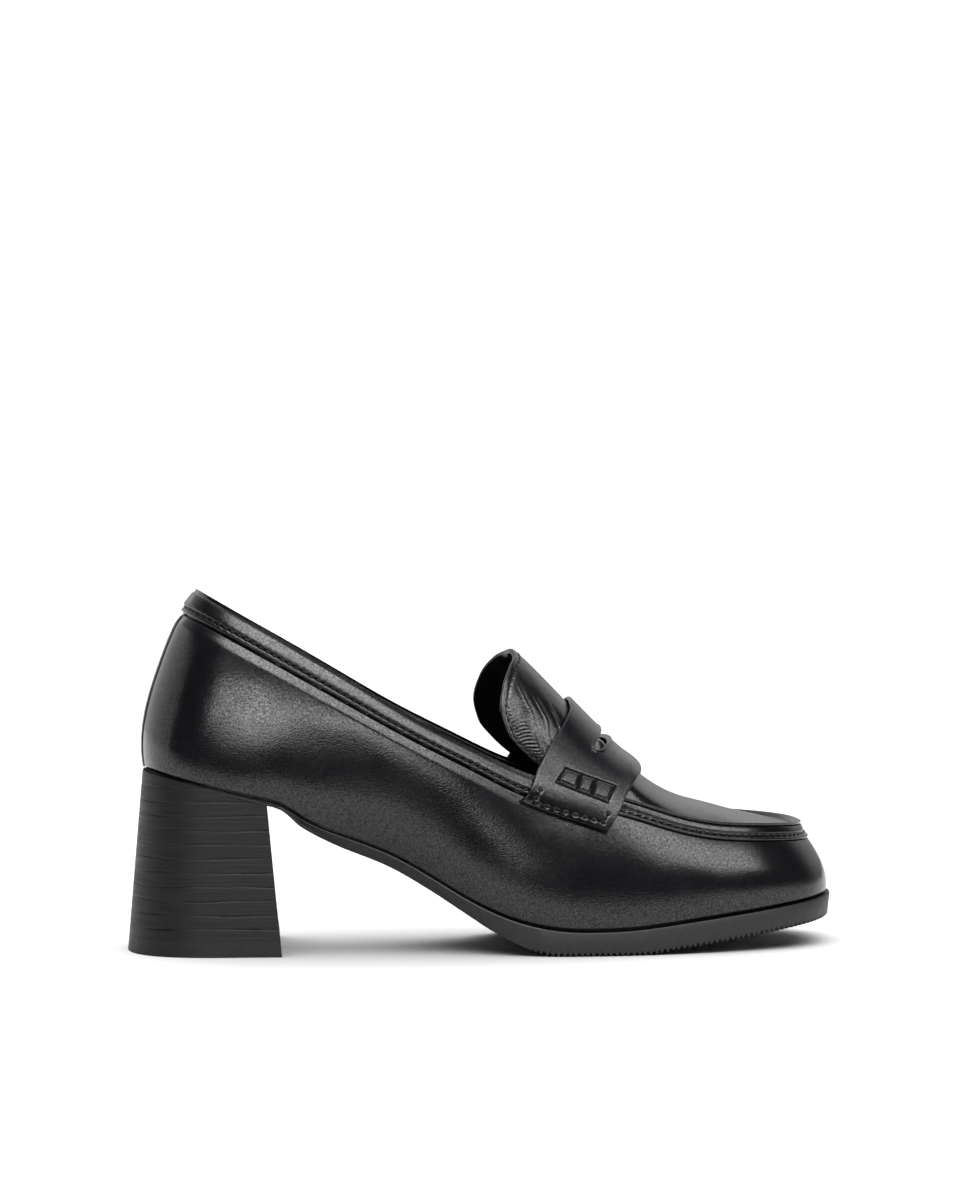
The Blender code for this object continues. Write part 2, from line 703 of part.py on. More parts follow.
def build_insole(collection):
    """Insole inside the wall, on the outsole."""
    build_ladder(
        "insole",
        lambda x: np.full(np.shape(x), -INSOLE_INSET),
        lambda x: np.full(np.shape(x), -INSOLE_INSET),
        lambda x: sole_top(x) + GAP + INSOLE_THICK,
        lambda x: sole_top(x) + GAP,
        LINING,
        collection,
    )


def heel_ring(share):
    """Plan of the heel at a share of its height: flat breast in front, full round behind."""
    back = HEEL_FLOOR.back + (HEEL_TOP.back - HEEL_FLOOR.back) * share
    breast = HEEL_FLOOR.breast + (HEEL_TOP.breast - HEEL_FLOOR.breast) * share
    half = HEEL_FLOOR.half + (HEEL_TOP.half - HEEL_FLOOR.half) * share
    join = back + HEEL_SIDE_FROM * (breast - back)
    turn = np.linspace(0.5 * np.pi, -0.5 * np.pi, HEEL_POINTS + 1)
    around = np.abs(np.cos(turn)) ** (2.0 / HEEL_ROUND)
    aside = np.sign(np.sin(turn)) * np.abs(np.sin(turn)) ** (2.0 / HEEL_ROUND)
    x = np.concatenate([[breast], join - (join - back) * around, [breast]])
    y = np.concatenate([[half], half * aside, [-half]])
    slope = -SWING * np.pi / LENGTH * math.cos(np.pi * HEEL_PIVOT / LENGTH)
    angle = math.atan(slope)
    turned_x = HEEL_PIVOT + (x - HEEL_PIVOT) * math.cos(angle) - y * math.sin(angle)
    turned_y = centre_line(HEEL_PIVOT) + (x - HEEL_PIVOT) * math.sin(angle) + y * math.cos(angle)
    return np.stack([turned_x, turned_y], axis=-1)


def heel_solid(name, rings, finish, collection):
    """Closed loft through rings of the heel."""
    count = len(rings[0])
    faces = grid_faces(len(rings), count, closed=True)
    faces.append(tuple(range(count - 1, -1, -1)))
    faces.append(tuple(range((len(rings) - 1) * count, len(rings) * count)))
    new_object(name, np.concatenate(rings), faces, finish, collection)


def heel_level(share):
    """A ring of the heel between the floor (0) and the sole above it (1)."""
    plan = heel_ring(share)
    height = (sole_bottom(plan[:, 0]) - GAP) * share
    return np.column_stack([plan, height])


def build_heel(collection):
    """Stacked heel and the wearing piece under it."""
    mean_height = float(np.mean(heel_level(1.0)[:, 2]))
    cut = TOP_PIECE / mean_height
    floor = heel_ring(0.0)
    level = heel_ring(cut)
    count = len(floor)
    wearing = [np.column_stack([floor, np.zeros(count)])]
    wearing.append(np.column_stack([level, np.full(count, TOP_PIECE)]))
    heel_solid("heel_top_piece", wearing, RUBBER, collection)
    stack = [np.column_stack([level, np.full(count, TOP_PIECE + GAP)])]
    for k in range(1, HEEL_STEPS + 1):
        stack.append(heel_level(cut + (1.0 - cut) * k / HEEL_STEPS))
    heel_solid("heel_stack", stack, STACK, collection)


def clear_scene():
    """Start from nothing."""
    for old in list(bpy.data.objects):
        bpy.data.objects.remove(old, do_unlink=True)


def main():
    clear_scene()
    parts = bpy.data.collections.new("penny_loafer")
    cutters = bpy.data.collections.new("cutters")
    bpy.context.scene.collection.children.link(parts)
    bpy.context.scene.collection.children.link(cutters)
    build_upper(parts)
    build_collar_band(parts)
    build_back_stay(parts)
    build_tongue(parts)
    build_saddle_strap(parts, cutters)
    build_outsole(parts)
    build_insole(parts)
    build_heel(parts)


main()
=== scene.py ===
from collections import namedtuple
import math

import bmesh
import bpy
from mathutils import Matrix
import numpy as np


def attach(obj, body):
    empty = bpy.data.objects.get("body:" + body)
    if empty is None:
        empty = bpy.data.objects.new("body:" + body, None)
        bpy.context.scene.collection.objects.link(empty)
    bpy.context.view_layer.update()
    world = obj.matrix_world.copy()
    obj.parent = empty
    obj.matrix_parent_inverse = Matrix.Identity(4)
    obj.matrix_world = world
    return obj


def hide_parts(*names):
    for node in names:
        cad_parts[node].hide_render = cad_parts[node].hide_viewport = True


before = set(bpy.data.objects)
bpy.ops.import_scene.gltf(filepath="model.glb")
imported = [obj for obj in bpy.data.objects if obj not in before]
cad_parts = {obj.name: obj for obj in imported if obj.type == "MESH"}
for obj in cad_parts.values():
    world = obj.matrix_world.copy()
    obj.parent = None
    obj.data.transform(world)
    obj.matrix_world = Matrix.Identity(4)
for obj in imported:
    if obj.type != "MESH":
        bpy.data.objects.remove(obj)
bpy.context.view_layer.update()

# The shoe's own sizes are millimetres. Stations run from the back of the heel's foot to the toe,
# Y points to the inner side of the foot and Z up. place() turns them into the frame's metres.
MM = 0.001
LENGTH = 243.0
CENTRE_X = 121.4
CENTRE_Y = -4.4
SWING = 5.5
GAP = 0.3
WALL = 1.8
KNEE_RISE = 0.30
SHOULDER_DROP = 0.35
THROAT = 168.0
SPINE_END = 217.0

# Samples along a side and down the wall, and the steps for slopes, along the loop and up the wall
SAMPLES = 800
DROP_SAMPLES = 60
LOOP_STEP = 0.2
HEIGHT_STEP = 0.01

# Steps for slopes of the tongue and the instep, as stations and degrees, and of the strap, as
# shares along and across it
TONGUE_STEPS = (0.2, 0.5)
INSTEP_STEPS = (0.5, 1.0)
STRAP_STEPS = (0.02, 0.01)

# Least lengths that are divided by
TINY = 1e-12
LEAST_HALF = 1e-6

# Sections of the last, heel back to toe: foot of the wall, top line, belly, lean and strip width
Section = namedtuple(
    "Section",
    "foot_x outer_foot inner_foot top_x outer_top inner_top outer_z inner_z"
    " outer_belly inner_belly lean strip",
)
SECTIONS = [
    Section(6.0, 0.0, 0.0, 23.4, 0.0, 0.0, 121.4, 121.4, 3.5, 3.5, 11.2, 8.2),
    Section(7.4, 10.5, 10.5, 24.8, 8.2, 8.2, 120.6, 120.6, 3.6, 3.6, 10.4, 8.2),
    Section(12.8, 20.3, 20.3, 29.0, 15.2, 15.2, 118.2, 118.2, 3.8, 3.8, 8.2, 8.2),
    Section(25.0, 25.8, 25.8, 39.2, 20.6, 20.6, 112.2, 112.3, 4.0, 4.0, 5.4, 8.0),
    Section(50.0, 26.6, 25.8, 59.0, 24.8, 24.2, 100.5, 101.0, 4.8, 5.2, 3.6, 7.6),
    Section(70.0, 24.8, 21.4, 77.0, 27.3, 26.5, 89.6, 90.4, 6.0, 7.5, 3.0, 6.9),
    Section(90.0, 25.6, 20.0, 95.0, 29.4, 28.8, 78.6, 80.0, 6.5, 9.0, 2.8, 5.9),
    Section(112.0, 31.0, 24.0, 115.0, 31.0, 31.0, 68.2, 69.8, 5.0, 8.0, 3.5, 5.8),
    Section(133.0, 36.8, 32.8, 134.0, 31.8, 32.6, 59.6, 60.8, 3.0, 5.0, 5.5, 6.6),
    Section(152.0, 39.3, 38.0, 151.0, 32.0, 33.2, 55.0, 55.6, 1.6, 2.6, 7.0, 6.2),
    Section(171.0, 39.4, 39.2, THROAT, 31.8, 33.0, 50.4, 50.7, 1.2, 2.0, 8.0, 5.7),
    Section(189.0, 38.0, 38.4, 184.0, 31.0, 32.0, 45.2, 45.4, 1.6, 2.0, 8.0, 5.6),
    Section(206.0, 35.2, 35.4, 199.0, 29.2, 29.8, 42.2, 42.4, 2.5, 2.5, 7.6, 5.6),
    Section(221.0, 31.0, 31.0, 213.0, 26.0, 26.2, 41.2, 41.3, 2.2, 2.2, 7.0, 5.6),
    Section(232.8, 24.2, 24.0, 224.2, 20.0, 20.0, 40.6, 40.6, 1.9, 1.9, 6.5, 5.6),
    Section(239.5, 13.6, 13.6, 229.9, 11.4, 11.4, 40.2, 40.2, 1.6, 1.6, 6.5, 5.6),
    Section(241.5, 0.0, 0.0, 231.5, 0.0, 0.0, 40.0, 40.0, 1.5, 1.5, 6.5, 5.6),
]

# The outsole from the side, and how far its edge stands out from the foot of the wall
Sole = namedtuple("Sole", "station top bottom edge bevel")
SOLE = [
    Sole(4.0, 61.8, 60.4, -1.0, 0.0),
    Sole(26.0, 56.5, 55.1, -1.0, 0.0),
    Sole(44.0, 52.2, 50.8, -1.0, 0.0),
    Sole(50.0, 50.4, 49.0, -1.0, 0.0),
    Sole(57.5, 45.8, 42.8, -0.8, 2.0),
    Sole(68.4, 40.7, 36.9, -0.6, 3.0),
    Sole(86.9, 33.5, 29.2, -0.3, 3.0),
    Sole(100.6, 25.9, 21.3, 0.0, 2.6),
    Sole(111.4, 19.3, 14.2, 0.3, 2.2),
    Sole(121.2, 14.3, 7.9, 0.7, 1.6),
    Sole(129.6, 11.2, 3.6, 1.0, 1.2),
    Sole(136.5, 9.5, 0.9, 1.2, 1.0),
    Sole(142.0, 8.6, 0.0, 1.3, 0.8),
    Sole(155.0, 8.0, 0.0, 1.4, 0.8),
    Sole(169.0, 8.5, 0.0, 1.4, 0.8),
    Sole(184.0, 10.1, 1.7, 1.4, 0.8),
    Sole(199.4, 11.9, 3.7, 1.4, 0.8),
    Sole(216.7, 13.9, 6.1, 1.4, 0.8),
    Sole(244.0, 17.2, 9.8, 1.4, 0.8),
]

# The middle line of the plug, and how full its cross section is there
Spine = namedtuple("Spine", "station height fullness")
SPINE = [
    Spine(160.0, 71.9, 0.50),
    Spine(THROAT, 65.0, 0.50),
    Spine(174.6, 59.3, 0.62),
    Spine(186.0, 52.0, 0.82),
    Spine(198.9, 47.9, 0.95),
    Spine(210.7, 44.7, 1.00),
    Spine(219.4, 42.6, 1.00),
    Spine(231.5, 40.0, 1.00),
]

# The arch of the tongue: its ridge, the height its sides run down to, and its half width
Arch = namedtuple("Arch", "station ridge side half")
TONGUE = [
    Arch(120.0, 111.0, 57.5, 25.4),
    Arch(132.5, 100.9, 55.0, 26.0),
    Arch(142.0, 91.8, 52.8, 26.8),
    Arch(151.5, 82.0, 51.0, 27.8),
    Arch(160.0, 73.3, 50.4, 29.2),
    Arch(THROAT, 65.0, 50.4, 31.6),
]

# The free edge of the tongue: the angle around its arch and the station it reaches there
Edge = namedtuple("Edge", "angle station")
TONGUE_EDGE = [
    Edge(0.0, 132.4),
    Edge(16.0, 131.4),
    Edge(32.0, 128.4),
    Edge(48.0, 124.8),
    Edge(60.0, 123.2),
    Edge(69.0, 125.4),
    Edge(74.0, 130.4),
    Edge(77.5, 135.6),
    Edge(82.0, 147.0),
]
TONGUE_TWIST = 2.2
TONGUE_FRONT_BOW = 5.0
TONGUE_THICK = 1.8

# The strap's rear and front edges from the middle (0) to the end of a tab (1)
Strap = namedtuple("Strap", "across rear front")
STRAP = [
    Strap(0.00, 150.2, 172.4),
    Strap(0.20, 149.5, 172.2),
    Strap(0.40, 146.2, 171.0),
    Strap(0.72, 134.6, 165.0),
    Strap(1.00, 129.8, 158.8),
]
STRAP_ARCH = [0.0, 24.0, 46.0]
STRAP_THICK = 1.5
STRAP_LIFT = 0.7
STRAP_FRONT_LIFT = 1.6
STRAP_SIDE_LIFT = 1.9
STRAP_TAB_LIFT = 1.1
STRAP_LIFT_RUN = 4.0
TAB_DROP_REAR = 8.9
TAB_DROP_FRONT = 13.0

# Plan of the heel block at the floor and under the sole, in the heel's own axis
HeelPlan = namedtuple("HeelPlan", "back breast half")
HEEL_FLOOR = HeelPlan(0.4, 52.4, 30.0)
HEEL_TOP = HeelPlan(5.5, 47.4, 25.5)
HEEL_PIVOT = 27.0
HEEL_ROUND = 2.5
HEEL_SIDE_FROM = 0.62
TOP_PIECE = 5.0


def column(rows, name):
    """One named column of a table, as an array."""
    return np.array([getattr(row, name) for row in rows])


def spline(knots, values):
    """A curve of continuous curvature through the values, straight at both ends."""
    knots = np.asarray(knots, float)
    values = np.asarray(values, float)
    count = len(knots)
    step = np.diff(knots)
    matrix = np.eye(count)
    right = np.zeros(count)
    slope = np.diff(values) / step
    for i in range(1, count - 1):
        matrix[i, i - 1] = step[i - 1]
        matrix[i, i] = 2.0 * (step[i - 1] + step[i])
        matrix[i, i + 1] = step[i]
        right[i] = 6.0 * (slope[i] - slope[i - 1])
    bend = np.linalg.solve(matrix, right)

    def curve(at):
        inside = np.clip(np.asarray(at, float), knots[0], knots[-1])
        i = np.clip(np.searchsorted(knots, inside) - 1, 0, count - 2)
        left = inside - knots[i]
        rest = knots[i + 1] - inside
        cubic = (bend[i] * rest**3 + bend[i + 1] * left**3) / (6.0 * step[i])
        line_left = (values[i] / step[i] - bend[i] * step[i] / 6.0) * rest
        line_right = (values[i + 1] / step[i] - bend[i + 1] * step[i] / 6.0) * left
        return cubic + line_left + line_right

    return curve


def round_spline(knots, values, turn):
    """The same curve for a closed loop of length turn, repeated to hide its ends."""
    knots = np.asarray(knots, float)
    values = np.asarray(values, float)
    repeated = spline(
        np.concatenate([knots - turn, knots, knots + turn]),
        np.concatenate([values, values, values]),
    )
    return lambda at: repeated(np.mod(at, turn))


def steady(knots, values):
    """A curve through the values that never overshoots, so a flat stretch stays flat."""
    knots = np.asarray(knots, float)
    values = np.asarray(values, float)
    step = np.diff(knots)
    slope = np.diff(values) / step
    tangent = np.zeros(len(knots))
    tangent[0] = slope[0]
    tangent[-1] = slope[-1]
    for i in range(1, len(knots) - 1):
        if slope[i - 1] * slope[i] > 0.0:
            tangent[i] = 2.0 / (1.0 / slope[i - 1] + 1.0 / slope[i])

    def curve(at):
        inside = np.clip(np.asarray(at, float), knots[0], knots[-1])
        i = np.clip(np.searchsorted(knots, inside) - 1, 0, len(knots) - 2)
        t = (inside - knots[i]) / step[i]
        rise = values[i] * (1.0 + 2.0 * t) * (1.0 - t) ** 2 + values[i + 1] * t * t * (3.0 - 2.0 * t)
        turn = tangent[i] * t * (1.0 - t) ** 2 - tangent[i + 1] * t * t * (1.0 - t)
        return rise + turn * step[i]

    return curve


def table_curve(rows, name, kind=spline):
    """The curve of one column of a table over its first column."""
    return kind(column(rows, rows[0]._fields[0]), column(rows, name))


def smooth_step(at, low, high):
    """0 below low, 1 above high, smooth between."""
    t = np.clip((np.asarray(at, float) - low) / (high - low), 0.0, 1.0)
    return t * t * (3.0 - 2.0 * t)


def between(values, edges):
    """1 inside a range that fades in over its first two edges and out over its last two."""
    return smooth_step(values, edges[0], edges[1]) * (1.0 - smooth_step(values, edges[2], edges[3]))


def hill(away, half_width):
    """1 on a line, falling smoothly with the distance from it."""
    return np.exp(-((away / half_width) ** 2))


def unit(vectors):
    """Vectors scaled to length 1."""
    return vectors / np.maximum(np.linalg.norm(vectors, axis=-1, keepdims=True), TINY)


def surface_normal(point, first, second, steps):
    """Direction out of a surface, from its slopes along its two coordinates."""
    ahead = point(first + steps[0], second) - point(first - steps[0], second)
    aside = point(first, second + steps[1]) - point(first, second - steps[1])
    return unit(np.cross(ahead, aside))


def centre_line(station):
    """The shoe's middle, which bows to the outer side as the last of a right foot does."""
    return -SWING * np.sin(np.pi * np.asarray(station, float) / LENGTH)


sole_top = table_curve(SOLE, "top")
sole_bottom = table_curve(SOLE, "bottom", steady)
sole_edge = table_curve(SOLE, "edge", steady)
sole_bevel = table_curve(SOLE, "bevel", steady)
spine_height = table_curve(SPINE, "height")
spine_fullness = table_curve(SPINE, "fullness", steady)
arch_ridge = table_curve(TONGUE, "ridge")
arch_side = table_curve(TONGUE, "side")
arch_half = table_curve(TONGUE, "half")
tongue_reach = table_curve(TONGUE_EDGE, "station", steady)
strap_rear = table_curve(STRAP, "rear", steady)
strap_front = table_curve(STRAP, "front", steady)


class Last:
    """The outside of the upper's wall, as a loop from the heel back around the outer side,
    the toe and the inner side. A place on it is a loop position and a height from 0 to 1."""

    def __init__(self):
        outer = SECTIONS
        inner = SECTIONS[-2:0:-1]
        rows = outer + inner
        foot_x = column(rows, "foot_x")
        top_x = column(rows, "top_x")
        foot_y = self.both(outer, inner, "outer_foot", "inner_foot", foot_x)
        top_y = self.both(outer, inner, "outer_top", "inner_top", top_x)
        top_z = np.concatenate([column(outer, "outer_z"), column(inner, "inner_z")])
        belly = np.concatenate([column(outer, "outer_belly"), column(inner, "inner_belly")])
        around_x = np.append(foot_x, foot_x[0])
        around_y = np.append(foot_y, foot_y[0])
        steps = np.hypot(np.diff(around_x), np.diff(around_y))
        self.knots = np.concatenate([[0.0], np.cumsum(steps)[:-1]])
        self.turn = float(np.sum(steps))
        self.middle = self.knots[len(SECTIONS) - 1]
        self.foot_x = self.around(foot_x)
        self.foot_y = self.around(foot_y)
        self.top_x = self.around(top_x)
        self.top_y = self.around(top_y)
        self.top_z = self.around(top_z)
        self.belly = self.around(belly)
        self.lean = self.around(column(rows, "lean"))
        self.strip = self.around(column(rows, "strip"))

    def around(self, values):
        """A smooth closed curve through one value for each section."""
        return round_spline(self.knots, values, self.turn)

    @staticmethod
    def both(outer, inner, outer_name, inner_name, stations):
        """Distances from the centre line on both sides, as places across the shoe."""
        sides = np.concatenate([-column(outer, outer_name), column(inner, inner_name)])
        return centre_line(stations) + sides

    def outward(self, x_curve, y_curve, at):
        """Level direction out of a closed line around the shoe."""
        along_x = x_curve(at + LOOP_STEP) - x_curve(at - LOOP_STEP)
        along_y = y_curve(at + LOOP_STEP) - y_curve(at - LOOP_STEP)
        return unit(np.stack([along_y, -along_x], axis=-1))

    def foot(self, at, margin):
        """The foot of the wall in plan, moved outwards by margin."""
        plan = np.stack([self.foot_x(at), self.foot_y(at)], axis=-1)
        return plan + self.outward(self.foot_x, self.foot_y, at) * np.asarray(margin)[..., None]

    def point(self, at, height):
        """Points of the wall, without its raised strips."""
        at, height = np.broadcast_arrays(np.asarray(at, float), np.asarray(height, float))
        foot_x = self.foot_x(at)
        low = np.stack([foot_x, self.foot_y(at), sole_top(foot_x) + GAP], axis=-1)
        high = np.stack([self.top_x(at), self.top_y(at), self.top_z(at)], axis=-1)
        tall = (high - low)[..., 2:]
        out_low = self.outward(self.foot_x, self.foot_y, at) * self.belly(at)[..., None]
        out_high = self.outward(self.top_x, self.top_y, at) * self.lean(at)[..., None]
        knee = low + np.concatenate([out_low, KNEE_RISE * tall], axis=-1)
        shoulder = high + np.concatenate([out_high, -SHOULDER_DROP * tall], axis=-1)
        t = height[..., None]
        lower = (1.0 - t) ** 3 * low + 3.0 * (1.0 - t) ** 2 * t * knee
        return lower + 3.0 * (1.0 - t) * t * t * shoulder + t**3 * high

    def upward(self, at, height):
        """Direction up the wall."""
        above = np.minimum(height + HEIGHT_STEP, 1.0)
        return unit(self.point(at, above) - self.point(at, above - 2.0 * HEIGHT_STEP))

    def normal(self, at, height):
        """Direction out of the wall."""
        at, height = np.broadcast_arrays(np.asarray(at, float), np.asarray(height, float))
        along = self.point(at + LOOP_STEP, height) - self.point(at - LOOP_STEP, height)
        return unit(np.cross(along, self.upward(at, height)))

    def below_top(self, at, drops):
        """Heights that lie distances below the top line, a row for each drop."""
        heights = np.linspace(1.0, 0.0, DROP_SAMPLES)
        line = self.point(at[:, None], heights[None, :])
        steps = np.linalg.norm(np.diff(line, axis=1), axis=2)
        run = np.concatenate([np.zeros((len(at), 1)), np.cumsum(steps, axis=1)], axis=1)
        drops = np.broadcast_to(drops, (len(drops), len(at)))
        found = [[np.interp(drop, here, heights) for drop, here in zip(row, run)] for row in drops]
        return np.array(found)

    def side_span(self, inner):
        """Loop positions down one side, from the heel back to the toe."""
        return np.linspace(self.turn if inner else 0.0, self.middle, SAMPLES)

    def at_station(self, station, height, inner):
        """Loop position where the wall passes a station at a height, on one side."""
        span = self.side_span(inner)
        return np.interp(station, self.point(span, height)[:, 0], span)

    def round_toe(self, station, count):
        """Loop positions along the top line, from a station on the outer side round the toe to the
        same station on the inner side."""
        ends = [self.at_station(station, 1.0, inner) for inner in (False, True)]
        return np.linspace(*ends, count)

    def off_wall(self, at, drops, lifts):
        """Rows of points a distance below the top line and a distance off the wall. A drop
        below 0 goes on over the top, straight up."""
        drops = np.broadcast_to(np.asarray(drops, float), (len(drops), len(at)))
        lifts = np.broadcast_to(np.asarray(lifts, float), drops.shape)
        heights = self.below_top(at, np.maximum(drops, 0.0))
        here = np.broadcast_to(at, drops.shape)
        over = np.maximum(-drops, 0.0)[..., None] * self.upward(here, heights)
        return self.point(here, heights) + over + self.normal(here, heights) * lifts[..., None]


LAST = Last()


def place(points):
    """Millimetres of the shoe's own stations as metres about the middle of its footprint."""
    return (np.asarray(points, float) - np.array([CENTRE_X, CENTRE_Y, 0.0])) * MM


def quads(rows, columns, wrap=False, start=0):
    """Faces of a grid stored row by row, wrapped round in the columns where asked."""
    left = np.arange(columns if wrap else columns - 1)[None, :]
    right = (left + 1) % columns
    low = start + np.arange(rows - 1)[:, None] * columns
    high = low + columns
    faces = np.stack([low + left, low + right, high + right, high + left], axis=-1)
    return faces.reshape(-1, 4).tolist()


def closed_tube(rings, columns, start=0):
    """Faces of a tube of rings, closed at both ends."""
    last = start + (rings - 1) * columns
    faces = quads(rings, columns, True, start)
    faces.append(list(range(start + columns - 1, start - 1, -1)))
    faces.append(list(range(last, last + columns)))
    return faces


def run_length(path):
    """Distance along a line of points."""
    return np.concatenate([[0.0], np.cumsum(np.linalg.norm(np.diff(path, axis=0), axis=1))])


# Uneven leather: how many waves cross, their lengths in millimetres and the span of their phases
WAVE_COUNT = 6
WAVE_LENGTHS = (9, 34)
WAVE_PHASE = 6.3


def waves(along, across, seed):
    """Gentle uneven surface between -1 and 1, from a few crossing waves, for places in millimetres."""
    pick = np.random.default_rng(seed)
    turns = pick.uniform(0, np.pi, WAVE_COUNT)
    lengths = pick.uniform(*WAVE_LENGTHS, WAVE_COUNT)
    phases = pick.uniform(0, WAVE_PHASE, WAVE_COUNT)
    total = 0.0
    for turn, long, phase in zip(turns, lengths, phases):
        run = along * math.cos(turn) + across * math.sin(turn)
        total = total + np.sin(run * 2 * np.pi / long + phase)
    return total / WAVE_COUNT


def add_object(name, data):
    """A new object in the scene."""
    made = bpy.data.objects.new(name, data)
    bpy.context.scene.collection.objects.link(made)
    return made


# Pieces: points closer than WELD become one and edges shorter than NO_LENGTH go, in metres. Edges
# that turn by more than SHARP degrees stay sharp.
WELD = 2e-6
NO_LENGTH = 1e-7
SHARP = 50.0


def new_piece(name, points, faces, finish, nodes=(), sharp=SHARP):
    """A piece of the shoe from points in millimetres, in its finish, in place of CAD nodes."""
    mesh = bpy.data.meshes.new(name)
    mesh.from_pydata(place(points).tolist(), [], faces)
    shape = bmesh.new()
    shape.from_mesh(mesh)
    bmesh.ops.remove_doubles(shape, verts=shape.verts, dist=WELD)
    bmesh.ops.dissolve_degenerate(shape, edges=shape.edges, dist=NO_LENGTH)
    shape.to_mesh(mesh)
    shape.free()
    mesh.shade_smooth()
    mesh.set_sharp_from_angle(angle=math.radians(sharp))
    mesh.materials.append(finish.material)
    made = add_object(name, mesh)
    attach(made, "root")
    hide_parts(*nodes)
    return made


def grid_piece(name, points, finish, nodes, wrap=False):
    """A piece from a grid of points."""
    rows, columns = points.shape[:2]
    return new_piece(name, points.reshape(-1, 3), quads(rows, columns, wrap), finish, nodes)


# Materials. A noise has a scale, a detail and, where it is stretched, a scale along each axis. A
# bump has a strength and a depth in metres.
Finish = namedtuple("Finish", "material slot")
NOISE_RANGE = (0.3, 0.7)
LEATHER_TONES = ((0.0035, 0.0034, 0.0048), (0.0060, 0.0058, 0.0078))
LEATHER_TONE_NOISE = (90.0, 3.0)
LEATHER_WEAR_NOISE = (60.0, 4.0)
LEATHER_WEAR = (-0.03, 0.04)
LEATHER_GLOSS = (0.27, 0.75)
PORE_NOISE = (1650.0, 1.0)
PORE_DEPTH = 0.00014
CELL_SCALE = 2100.0
CELL_DEPTH = 0.00008
CELL_SOFTNESS = 0.6
PLAIN_DEPTH = 0.0002
PLAIN_LIGHTER = 1.5
PLAIN_DETAIL = 3.0
PLAIN_TONE_SCALE = 0.2
PLAIN_WEAR_SCALE = 0.3
PLAIN_WEAR = 0.06
STACK_TONES = ((0.002, 0.0019, 0.0023), (0.0085, 0.0080, 0.0092))
STACK_ROUGHNESS = (0.46, 0.60)
STACK_GLOSS = 0.3
STACK_STREAKS = (40.0, 6.0, (1.0, 1.0, 34.0))
STACK_STREAK_BUMP = (0.3, 0.0004)
STACK_WEAR = (30.0, 4.0, (1.0, 1.0, 20.0))
STACK_GRAIN = (1100.0, 3.0, (1.0, 1.0, 1.6))
STACK_GRAIN_BUMP = (0.4, 0.0002)


def add_node(tree, kind, inputs=None, **settings):
    """A shader node, its inputs set, or joined where the value is another node's output."""
    node = tree.nodes.new(kind)
    for name, value in settings.items():
        setattr(node, name, value)
    for name, value in (inputs or {}).items():
        if isinstance(value, bpy.types.NodeSocket):
            tree.links.new(value, node.inputs[name])
        else:
            node.inputs[name].default_value = value
    return node


def map_range(tree, source, before, after, **settings):
    """A value moved from one range to another."""
    node = add_node(tree, "ShaderNodeMapRange", {
        "Value": source, "From Min": before[0], "From Max": before[1],
        "To Min": after[0], "To Max": after[1],
    }, **settings)
    return node.outputs["Result"]


class Nodes:
    """A material and short ways to fill its shader."""

    def __init__(self, name):
        self.material = bpy.data.materials.new(name)
        self.material.use_nodes = True
        self.tree = self.material.node_tree
        self.shader = self.tree.nodes["Principled BSDF"]
        self.place = add_node(self.tree, "ShaderNodeTexCoord").outputs["Object"]

    def feed(self, name, output):
        """Joins an output to one of the shader's sockets."""
        self.tree.links.new(output, self.shader.inputs[name])

    def set(self, **values):
        """Sets the shader's own sockets."""
        for name, value in values.items():
            self.shader.inputs[name.replace("_", " ")].default_value = value

    def noise(self, scale, detail, stretch=(1.0, 1.0, 1.0)):
        """Noise over the shoe's own metres, stretched along an axis where asked."""
        mapping = add_node(self.tree, "ShaderNodeMapping", {"Vector": self.place, "Scale": stretch})
        return add_node(self.tree, "ShaderNodeTexNoise", {
            "Vector": mapping.outputs["Vector"], "Scale": scale, "Detail": detail,
        }).outputs["Fac"]

    def cells(self, scale):
        """Small rounded cells, as in leather grain."""
        return add_node(self.tree, "ShaderNodeTexVoronoi", {
            "Vector": self.place, "Scale": scale, "Smoothness": CELL_SOFTNESS,
        }, feature="SMOOTH_F1").outputs["Distance"]

    def spread(self, source, low, high):
        """A noise spread between two numbers."""
        return map_range(self.tree, source, NOISE_RANGE, (low, high))

    def blend(self, source, tones):
        """A colour between a dark and a light one, by a noise."""
        node = add_node(self.tree, "ShaderNodeValToRGB", {"Fac": source})
        for element, position, tone in zip(node.color_ramp.elements, NOISE_RANGE, tones):
            element.position = position
            element.color = (*tone, 1.0)
        return node.outputs["Color"]

    def bump(self, layers):
        """Bump from several heights, each with its strength and its depth in metres."""
        before = {}
        for height, strength, depth in layers:
            inputs = {"Strength": strength, "Distance": depth, "Height": height, **before}
            before = {"Normal": add_node(self.tree, "ShaderNodeBump", inputs).outputs["Normal"]}
        self.feed("Normal", before["Normal"])


def leather(name, slot, roughness, grain):
    """Black leather with a fine grain, whose pores dull the gloss."""
    made = Nodes(name)
    made.feed("Base Color", made.blend(made.noise(*LEATHER_TONE_NOISE), LEATHER_TONES))
    wear = [roughness + change for change in LEATHER_WEAR]
    made.feed("Roughness", made.spread(made.noise(*LEATHER_WEAR_NOISE), *wear))
    pores = made.noise(*PORE_NOISE)
    made.feed("Specular IOR Level", made.spread(pores, *LEATHER_GLOSS))
    made.bump([(pores, grain, PORE_DEPTH), (made.cells(CELL_SCALE), grain, CELL_DEPTH)])
    return Finish(made.material, slot)


